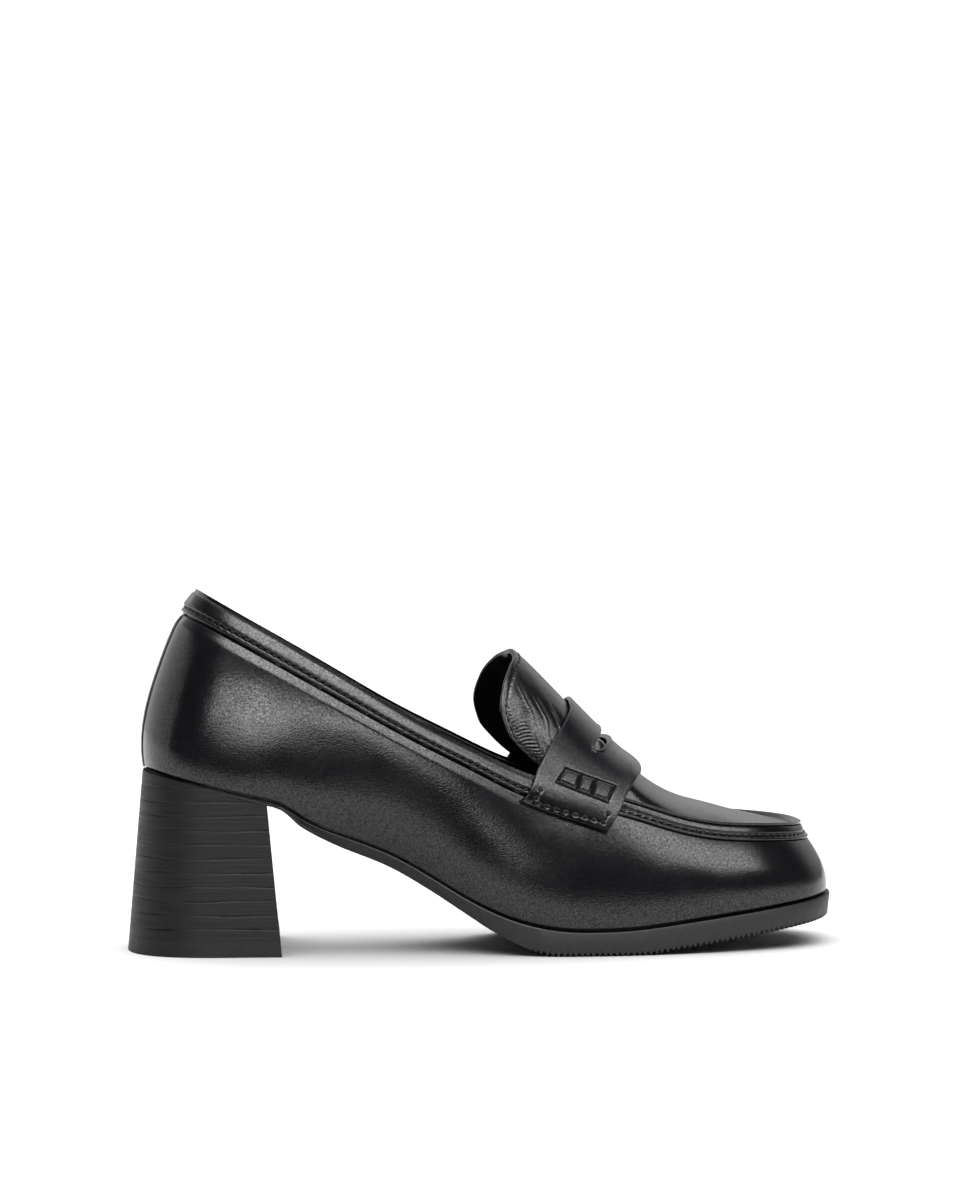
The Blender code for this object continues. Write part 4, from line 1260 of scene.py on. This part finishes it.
def slot_lip(points):
    """The rolled edge around the slot, as a height at points of the strap."""
    here, tilt = slot_place()
    share = (points[..., 1] - here[1]) / SLOT_HALF_LENGTH
    forward = points[..., 0] - here[0] + SLOT_BOW * share**2
    aside = np.abs(forward * math.cos(tilt) + (points[..., 2] - here[2]) * math.sin(tilt))
    half = 0.5 * SLOT_WIDTH * np.clip(1.0 - share**2, 0.0, 1.0) ** SLOT_CORNER
    outside = np.maximum(aside - half, (np.abs(share) - 1.0) * SLOT_HALF_LENGTH)
    return SLOT_LIP * hill(outside - SLOT_LIP_RUN, SLOT_LIP_RUN)


def pad_lines(along):
    """Where the upper and the lower cord of the pads lie across the strap."""
    first = PAD_SEAMS[0].upper
    share = (along - first) / (PAD_SEAMS[-1].upper - first)
    upper = PAD_UPPER[0] + (PAD_UPPER[1] - PAD_UPPER[0]) * share
    return upper, PAD_LOWER[0] + (PAD_LOWER[1] - PAD_LOWER[0]) * share


def pad_relief(across, along):
    """Height of the stitched pads on both sides of the strap, and of the grooves around them."""
    upper, lower = pad_lines(along)
    down = (np.abs(across) - upper) / (lower - upper)
    tall = np.minimum(down, 1.0 - down) * (lower - upper) * STRAP_REACH
    seams = np.stack([seam.upper + (seam.lower - seam.upper) * down for seam in PAD_SEAMS])
    gaps = (along[None] - seams) * STRAP_WIDTH
    to_seam = np.min(np.abs(gaps), axis=0)
    within = np.minimum(gaps[0], -gaps[-1])
    inside = np.minimum(tall, within)
    raised = smooth_step(tall, 0.0, PAD_EDGE) * smooth_step(to_seam, 0.0, PAD_EDGE) * (within > 0.0)
    raised = raised * (PAD_RISE + PAD_SWELL * np.clip(down, 0.0, 1.0))
    to_cord = np.where(inside > 0.0, np.minimum(inside, to_seam), -inside)
    return raised - PAD_GROOVE * hill(to_cord, PAD_GROOVE_HALF)


def build_slot_cutter():
    """Long rounded prism that cuts the strap's slot, standing along the strap's own normal."""
    here, tilt = slot_place()
    turn = 2.0 * np.pi * np.arange(SLOT_POINTS) / SLOT_POINTS
    share = np.cos(turn)
    half = 0.5 * SLOT_WIDTH * np.sign(np.sin(turn)) * np.sqrt(np.abs(np.sin(turn)))
    rings = []
    for depth in SLOT_DEPTHS:
        rise = depth - SLOT_SAG * share**2
        forward = half * math.cos(tilt) - rise * math.sin(tilt) - SLOT_BOW * share**2
        upward = half * math.sin(tilt) + rise * math.cos(tilt)
        rings.append(np.column_stack([
            here[0] + forward, here[1] + share * SLOT_HALF_LENGTH, here[2] + upward]))
    mesh = bpy.data.meshes.new("slot_cutter")
    mesh.from_pydata(place(np.concatenate(rings)).tolist(), [], closed_tube(len(rings), SLOT_POINTS))
    shape = bmesh.new()
    shape.from_mesh(mesh)
    bmesh.ops.recalc_face_normals(shape, faces=shape.faces)
    shape.to_mesh(mesh)
    shape.free()
    return add_object("slot_cutter", mesh)


def strap_line(across, along, lift):
    """A sewn line on top of the strap."""
    outward = STRAP_SURFACE.normal(across, along)
    return SewnLine(STRAP_SURFACE.point(across, along) + outward * (STRAP_THICK + lift), outward)


def tab_stitch_line(side):
    """Stitches around the end of a tab, from its rear edge along its end to its front edge."""
    rear = TAB_INSET / STRAP_WIDTH
    low = 1.0 - TAB_INSET / STRAP_REACH
    front = 1.0 - rear
    corners = np.array([(TAB_STITCH_FROM, rear), (low, rear), (low, front), (TAB_STITCH_TO, front)])
    share = np.linspace(0.0, 1.0, TAB_STITCH_SAMPLES)[:-1]
    legs = [corners[k] + (corners[k + 1] - corners[k]) * share[:, None] for k in range(3)]
    across, along = np.concatenate(legs + [corners[-1:]]).T
    return strap_line(side * across, along, 0.0)


def pad_cords(cords, side):
    """Cords around the pads of one side and between them, which run on a little past the pads."""
    first = PAD_SEAMS[0]
    last = PAD_SEAMS[-1]
    ends = [(first.upper, last.upper), (first.lower, last.lower)]
    for k, (rear, front) in enumerate(ends):
        along = np.linspace(rear - CORD_PAST_REAR[k], front + CORD_PAST_FRONT[k], CORD_SAMPLES)
        cords.cord(strap_line(side * pad_lines(along)[k], along, -CORD_SINK), CORD_RADIUS)
    share = np.linspace(-CORD_OVER, 1.0 + CORD_OVER, CORD_THIN_SAMPLES)
    for seam in PAD_SEAMS:
        along = seam.upper + (seam.lower - seam.upper) * share
        upper, lower = pad_lines(along)
        across = upper + (lower - upper) * share
        cords.cord(strap_line(side * across, along, -CORD_SINK), CORD_THIN)


def build_saddle_strap(cords):
    """Strap over the instep with rounded edges, its slot, its pads and its stitched tabs."""
    edge = np.linspace(0.0, 1.0, STRAP_EDGE_ROWS + 1)[:-1] ** STRAP_EDGE_CROWDING
    edge = edge * STRAP_ROUND / STRAP_WIDTH
    middle = np.linspace(STRAP_ROUND / STRAP_WIDTH, 1.0 - STRAP_ROUND / STRAP_WIDTH, STRAP_ROWS)
    rows = np.concatenate([edge, middle, 1.0 - edge[::-1]])
    across, along = np.meshgrid(np.linspace(-1.0, 1.0, STRAP_COLUMNS), rows, indexing="ij")
    base = STRAP_SURFACE.point(across, along)
    outward = STRAP_SURFACE.normal(across, along)
    width = np.linalg.norm(base[:, -1] - base[:, 0], axis=1)[:, None]
    from_edge = np.minimum(np.minimum(along, 1.0 - along) * width, (1.0 - np.abs(across)) * STRAP_REACH)
    inward = np.clip(1.0 - from_edge / STRAP_ROUND, 0.0, 1.0)
    lift = STRAP_THICK - STRAP_ROUND * (1.0 - np.sqrt(1.0 - inward**2))
    lift = lift + pad_relief(across, along)
    top = base + outward * lift[..., None]
    top = top + outward * slot_lip(top)[..., None]
    for side in (-1.0, 1.0):
        line = tab_stitch_line(side)
        near = side * across > TAB_STITCH_FROM - TAB_DENT_FROM
        dent = sewn_dent(top[near], line, TAB_STITCH_PITCH, TAB_DENT_HALF, TAB_DENT)
        top[near] += outward[near] * dent[:, None]
        sunk = line.path - TAB_STITCH_SINK * line.outward
        cords.stitches(SewnLine(sunk, line.outward), TAB_STITCH_PITCH)
        pad_cords(cords, side)
    under_along = 0.5 + 0.5 * np.cos(np.linspace(0.0, np.pi, STRAP_UNDER_ROWS))
    here = across[:, :1]
    there = under_along[None, :]
    depth = SKIRT_DEPTH + SKIRT_SEAM_DEPTH * between(np.abs(here), SKIRT_SEAM)
    tab_depth = SKIRT_TAB_DEPTH * smooth_step(np.abs(here), *SKIRT_TAB)
    skirt = depth * between((1.0 - there) * STRAP_WIDTH, SKIRT_RUN)
    skirt = skirt + tab_depth * between(there * STRAP_WIDTH, SKIRT_RUN)
    under = STRAP_SURFACE.point(here, there) - STRAP_SURFACE.normal(here, there) * skirt[..., None]
    loop = np.concatenate([top, under], axis=1)
    faces = closed_tube(*loop.shape[:2])
    made = new_piece("saddle_strap", loop.reshape(-1, 3), faces, LEATHER, ["saddle_strap"])
    cutter = build_slot_cutter()
    cut = made.modifiers.new("slot", "BOOLEAN")
    cut.operation = "DIFFERENCE"
    cut.solver = "EXACT"
    cut.object = cutter
    bpy.context.view_layer.update()
    shaped = bpy.data.meshes.new_from_object(made.evaluated_get(bpy.context.evaluated_depsgraph_get()))
    made.modifiers.clear()
    made.data = shaped
    bpy.data.objects.remove(cutter, do_unlink=True)


# Sole and insole
SOLE_COLUMNS = 1600
SOLE_ACROSS = 12
INSOLE_COLUMNS = 420
INSOLE_THICK = 2.2
INSOLE_INSET = 2.0
LAYER_SHARP = 35.0
RIM = 2.0
SOLE_SOFT = 0.4
SOLE_LIP = 1.3

# Tread: fine teeth along the lower edge of the forefoot
TOOTH_PITCH = 1.95
TOOTH_DEPTH = 0.95
TOOTH_FROM = (131.0, 136.0)
TOOTH_REACH = 3.5
TOOTH_FLANK = (-0.25, 0.35)


def tread_notches(at):
    """Height of the notches between the teeth of the tread, around the foot of the wall."""
    plan = LAST.foot(at, np.zeros(len(at)))
    run = run_length(plan)
    wave = np.sin(2.0 * np.pi * run / TOOTH_PITCH)
    return TOOTH_DEPTH * smooth_step(wave, *TOOTH_FLANK) * smooth_step(plan[:, 0], *TOOTH_FROM)


def build_layer(name, rings, finish, nodes, columns, notched=()):
    """A closed layer through rings around the foot of the wall, closed by rungs across. Each ring
    gives the margin from the foot of the wall and the height, over the station. The rings named
    in notched get the notches of the tread."""
    at = np.linspace(0.0, LAST.turn, columns, endpoint=False)
    half = columns // 2
    outlines = []
    for k, (margin, height) in enumerate(rings):
        plan = LAST.foot(at, margin(LAST.foot_x(at)))
        notch = tread_notches(at) if k in notched else 0.0
        outlines.append(np.column_stack([plan, height(plan[:, 0]) + notch]))
    points = list(np.concatenate(outlines))
    faces = quads(len(rings), columns, True)
    for ring, flip in ((0, False), (-1, True)):
        outline = outlines[ring]
        outer = outline[: half + 1]
        inner = np.concatenate([outline[:1], outline[:half - 1:-1]])
        share = np.linspace(0.0, 1.0, SOLE_ACROSS + 1)[None, :, None]
        plan = (outer[:, None] * (1.0 - share) + inner[:, None] * share)[..., :2]
        sheet = np.concatenate([plan, rings[ring][1](plan[..., :1])], axis=2)
        start = len(points)
        points.extend(sheet.reshape(-1, 3))
        cap = quads(half + 1, SOLE_ACROSS + 1, False, start)
        faces.extend(face[::-1] if flip else face for face in cap)
    new_piece(name, np.array(points), faces, finish, nodes, LAYER_SHARP)


def build_outsole():
    """Outsole with softened edges and a toothed tread."""
    def edge(bevel_share, inset=0.0):
        return lambda x: sole_edge(x) - bevel_share * sole_bevel(x) - inset

    def height(share, rise=0.0):
        return lambda x: sole_bottom(x) + share * (sole_top(x) - sole_bottom(x)) + rise

    build_layer("outsole", [
        (edge(1.0, TOOTH_REACH), sole_bottom),
        (edge(1.0, SOLE_SOFT), sole_bottom),
        (edge(1.0), height(0.0, 0.6 * SOLE_SOFT)),
        (edge(0.8), height(0.0, SOLE_LIP)),
        (edge(0.5), height(0.5)),
        (sole_edge, height(1.0, -SOLE_SOFT)),
        (edge(0.0, 0.5 * SOLE_SOFT), sole_top),
        (edge(0.0, RIM), sole_top),
    ], RUBBER, ["outsole"], SOLE_COLUMNS, (1, 2))


def build_insole():
    """Insole, whose edge stands straight up."""
    def inset(more):
        return lambda x: 0.0 * x - INSOLE_INSET - more

    def above(rise):
        return lambda x: sole_top(x) + GAP + rise

    build_layer("insole", [
        (inset(0.0), above(0.0)),
        (inset(0.0), above(INSOLE_THICK)),
        (inset(RIM), above(INSOLE_THICK)),
    ], LINING, ["insole"], INSOLE_COLUMNS)


# Heel
HEEL_COLUMNS = 160
HEEL_SIDE_POINTS = 24
HEEL_FACE_POINTS = 30
HEEL_STEP = 0.25
HEEL_SHARP = 40.0

# Lines between the lifts of the heel: their spacing, width, depth and first height, how far they
# wander in long and short waves, and how much they fade on their way round. A wave has a count
# around the heel and a shift from line to line.
LiftWave = namedtuple("LiftWave", "count shift")
LIFT_PITCH = 4.7
LIFT_HALF = 0.18
LIFT_DEPTH = 0.34
LIFT_FIRST = 0.9
LIFT_WANDER = 0.20
LIFT_RIPPLE = 0.08
LIFT_FADE = 0.35
LIFT_WANDER_WAVE = LiftWave(3.0, 2.1)
LIFT_RIPPLE_WAVE = LiftWave(11.0, 0.9)
LIFT_FADE_WAVE = LiftWave(5.0, 1.7)


def heel_ring(share):
    """Plan of the heel at a share of its height: flat breast in front, full round behind."""
    back, breast, half = [low + (high - low) * share for low, high in zip(HEEL_FLOOR, HEEL_TOP)]
    join = back + HEEL_SIDE_FROM * (breast - back)
    turn = np.linspace(0.5 * np.pi, -0.5 * np.pi, HEEL_COLUMNS + 1)
    around = np.abs(np.cos(turn)) ** (2.0 / HEEL_ROUND)
    aside = np.sign(np.sin(turn)) * np.abs(np.sin(turn)) ** (2.0 / HEEL_ROUND)
    side_x = np.linspace(breast, join, HEEL_SIDE_POINTS, endpoint=False)
    side_y = np.full(HEEL_SIDE_POINTS, half)
    face_y = np.linspace(-half, half, HEEL_FACE_POINTS, endpoint=False)[1:]
    face_x = np.full(len(face_y), breast)
    x = np.concatenate([side_x, join - (join - back) * around, side_x[::-1], face_x])
    y = np.concatenate([side_y, half * aside, -side_y, face_y])
    angle = math.atan(-SWING * np.pi / LENGTH * math.cos(np.pi * HEEL_PIVOT / LENGTH))
    turned_x = HEEL_PIVOT + (x - HEEL_PIVOT) * math.cos(angle) - y * math.sin(angle)
    turned_y = centre_line(HEEL_PIVOT) + (x - HEEL_PIVOT) * math.sin(angle) + y * math.cos(angle)
    return np.stack([turned_x, turned_y], axis=-1)


def heel_solid(name, rings, finish, nodes):
    """Closed loft through rings of the heel."""
    faces = closed_tube(len(rings), len(rings[0]))
    new_piece(name, np.concatenate(rings), faces, finish, nodes, HEEL_SHARP)


def heel_level(share):
    """A ring of the heel between the floor (0) and the foot of the wall (1)."""
    plan = heel_ring(share)
    return np.column_stack([plan, (sole_top(plan[:, 0]) - GAP) * share])


def lift_wave(around, wave, line):
    """A wave around the heel, shifted for the number of a line."""
    return np.sin(wave.count * around + wave.shift * line)


def lift_lines(ring):
    """How far a ring of the heel is drawn in where the lines between its lifts pass."""
    around = np.linspace(0.0, 2.0 * np.pi, len(ring), endpoint=False)
    total = np.zeros(len(ring))
    for k in range(int(ring[:, 2].max() / LIFT_PITCH) + 1):
        wander = LIFT_WANDER * lift_wave(around, LIFT_WANDER_WAVE, k)
        wander = wander + LIFT_RIPPLE * lift_wave(around, LIFT_RIPPLE_WAVE, k * k)
        height = TOP_PIECE + (k + LIFT_FIRST) * LIFT_PITCH + wander
        strength = 1.0 - LIFT_FADE + LIFT_FADE * lift_wave(around, LIFT_FADE_WAVE, k)
        total += strength * hill(ring[:, 2] - height, LIFT_HALF)
    return -LIFT_DEPTH * total


def build_heel():
    """Stacked heel and the wearing piece under it."""
    mean_height = float(np.mean(heel_level(1.0)[:, 2]))
    cut = TOP_PIECE / mean_height
    floor = heel_ring(0.0)
    level = heel_ring(cut)
    count = len(floor)
    heel_solid("heel_top_piece", [
        np.column_stack([floor, np.zeros(count)]),
        np.column_stack([level, np.full(count, TOP_PIECE)]),
    ], TOP_RUBBER, ["heel_top_piece"])
    stack = [np.column_stack([level, np.full(count, TOP_PIECE)])]
    steps = int(mean_height / HEEL_STEP)
    for k in range(1, steps + 1):
        ring = heel_level(cut + (1.0 - cut) * k / steps)
        ahead = np.roll(ring, -1, axis=0) - np.roll(ring, 1, axis=0)
        outward = unit(np.column_stack([ahead[:, 1], -ahead[:, 0], np.zeros(count)]))
        middle = ring - np.mean(ring, axis=0)
        outward = outward * np.sign(np.sum(outward[:, :2] * middle[:, :2], axis=1))[:, None]
        stack.append(ring + outward * lift_lines(ring)[:, None])
    heel_solid("heel_stack", stack, STACK, ["heel_stack"])


# Studio
CAMERA_PLACE = (-0.1723, -1.3236, 0.167)
CAMERA_TURN = 7.44
CAMERA_DIP = 2.1
CAMERA_LENS = 117.0
CAMERA_SENSOR = 36.0
SKY_FRONT = 0.05
SKY_BACK = 0.95
SKY_TOP = 1.0
SKY_HEEL_SHARE = 0.25
SKY_LOW_SHARE = 0.25
SKY_BACK_RUN = (0.0, 0.5)
SKY_HEEL_RUN = (-0.7, -0.2)
SKY_LOW_RUN = (-0.1, 0.5)
SKY_TOP_RUN = (0.80, 0.98)
WHITE = (1.0, 1.0, 1.0, 1.0)
FLOOR_REACH = 6.0
FLOOR_WHITE = 0.85
CARD_BLACK = 0.01
CARD_EDGE = -0.19
CARD_HEIGHT = 0.002
DULL = 0.9
SUN_POWER = 3.6
SUN_SPREAD = 100.0


def build_camera():
    """Camera at the photograph's angle, turned to the one shoe."""
    data = bpy.data.cameras.new("camera")
    data.lens = CAMERA_LENS
    data.sensor_width = CAMERA_SENSOR
    camera = add_object("camera", data)
    camera.location = CAMERA_PLACE
    camera.rotation_euler = (math.radians(90.0 - CAMERA_DIP), 0.0, math.radians(-CAMERA_TURN))
    bpy.context.scene.camera = camera


def stage_plane(name, grey, edge, height):
    """Level plane of the studio, which isn't part of the shoe, up to an edge behind or before it."""
    made = Nodes(name)
    made.set(Base_Color=(grey, grey, grey, 1.0), Roughness=DULL, Specular_IOR_Level=0.0)
    mesh = bpy.data.meshes.new(name)
    corners = [
        (-FLOOR_REACH, -FLOOR_REACH), (FLOOR_REACH, -FLOOR_REACH),
        (FLOOR_REACH, edge), (-FLOOR_REACH, edge),
    ]
    mesh.from_pydata([(x, y, height) for x, y in corners], [], [(0, 1, 2, 3)])
    mesh.materials.append(made.material)
    plane = add_object(name, mesh)
    return plane


def build_floor():
    """White floor, and a black card in front of the shoe that only its gloss mirrors."""
    stage_plane("floor", FLOOR_WHITE, FLOOR_REACH, 0.0)
    card = stage_plane("black_card", CARD_BLACK, CARD_EDGE, CARD_HEIGHT)
    card.visible_camera = False
    card.visible_diffuse = False
    card.visible_shadow = False


def build_sky():
    """White behind the shoe, dim overhead, dark in front, and a plain white background."""
    world = bpy.data.worlds.new("studio")
    bpy.context.scene.world = world
    world.use_nodes = True
    tree = world.node_tree
    tree.nodes.clear()

    def ramp(source, before, after):
        return map_range(tree, source, before, after, interpolation_type="SMOOTHSTEP")

    def combine(operation, first, second):
        return add_node(tree, "ShaderNodeMath", {0: first, 1: second}, operation=operation).outputs[0]

    place_on_sky = add_node(tree, "ShaderNodeTexCoord").outputs["Generated"]
    parts = add_node(tree, "ShaderNodeSeparateXYZ", {0: place_on_sky}).outputs
    behind = ramp(parts["Y"], SKY_BACK_RUN, (0.0, SKY_BACK))
    behind = combine("MULTIPLY", behind, ramp(parts["X"], SKY_HEEL_RUN, (SKY_HEEL_SHARE, 1.0)))
    behind = combine("MULTIPLY", behind, ramp(parts["Z"], SKY_LOW_RUN, (SKY_LOW_SHARE, 1.0)))
    total = combine("MAXIMUM", behind, ramp(parts["Z"], SKY_TOP_RUN, (0.0, SKY_TOP)))
    strength = combine("ADD", total, SKY_FRONT)
    dome = add_node(tree, "ShaderNodeBackground", {"Color": WHITE, "Strength": strength})
    white = add_node(tree, "ShaderNodeBackground", {"Color": WHITE})
    seen = add_node(tree, "ShaderNodeLightPath").outputs["Is Camera Ray"]
    mix = add_node(tree, "ShaderNodeMixShader", {0: seen, 1: dome.outputs[0], 2: white.outputs[0]})
    add_node(tree, "ShaderNodeOutputWorld", {0: mix.outputs[0]})


# Softboxes that only the gloss shows: the direction they stand in from the shoe, their sides, how
# they are rolled and their light, in degrees, metres and watts. Azimuth 0 is in front of the shoe's
# outer side, -90 behind the heel.
Softbox = namedtuple("Softbox", "name azimuth elevation distance wide tall roll power")
SOFTBOXES = [
    Softbox("front", -13.4, 8.4, 0.655, 0.18, 0.125, 22.0, 0.51),
    Softbox("front_heel", -26.2, 13.6, 0.721, 0.19, 0.08, 20.0, 0.36),
    Softbox("front_edge", 9.0, 29.0, 1.6, 0.24, 0.26, 0.0, 1.7),
    Softbox("front_toe", 40.0, 29.5, 1.6, 0.76, 0.68, 0.0, 8.0),
    Softbox("upper_strap", 38.0, 51.0, 1.6, 0.45, 0.30, 0.0, 1.4),
    Softbox("upper_toe", 50.0, 56.0, 1.6, 0.85, 0.40, 0.0, 1.1),
    Softbox("front_top", 0.0, 49.0, 1.6, 1.02, 0.80, 0.0, 19.0),
    Softbox("behind_heel", -118.0, 14.0, 1.6, 2.60, 0.75, 0.0, 4.5),
]
SOFTBOX_AIM = (0.0, 0.0, 0.06)


def build_lights():
    """Softboxes that show in the gloss, and a wide overhead light for the floor that doesn't."""
    for box in SOFTBOXES:
        data = bpy.data.lights.new(box.name, "AREA")
        data.shape = "RECTANGLE"
        data.size = box.wide
        data.size_y = box.tall
        data.energy = box.power
        light = add_object(box.name, data)
        turn = math.radians(box.azimuth)
        rise = math.radians(box.elevation)
        flat = box.distance * math.cos(rise)
        light.location = (
            SOFTBOX_AIM[0] + flat * math.sin(turn),
            SOFTBOX_AIM[1] - flat * math.cos(turn),
            SOFTBOX_AIM[2] + box.distance * math.sin(rise),
        )
        aim = Matrix.Rotation(turn, 3, "Z") @ Matrix.Rotation(0.5 * math.pi - rise, 3, "X")
        light.rotation_euler = (aim @ Matrix.Rotation(math.radians(-box.roll), 3, "Z")).to_euler()
        light.visible_camera = False
        light.visible_diffuse = False
    data = bpy.data.lights.new("overhead", "SUN")
    data.energy = SUN_POWER
    data.angle = math.radians(SUN_SPREAD)
    light = add_object("overhead", data)
    light.visible_glossy = False


def build_shoe():
    """Every piece of the shoe."""
    threads = Threads()
    cords = Threads()
    build_vamp()
    build_plug()
    build_collar_band()
    build_lining()
    threads.stitches(build_back_stay())
    threads.stitches(build_tongue())
    build_saddle_strap(cords)
    build_outsole()
    build_insole()
    build_heel()
    threads.stitches(seam_stitch_line())
    threads.stitches(band_stitch_line())
    threads.make("stitches", THREAD)
    cords.make("strap_threads", CORD)


build_camera()
build_floor()
build_sky()
build_lights()
build_shoe()
bpy.context.scene.view_settings.view_transform = "Standard"
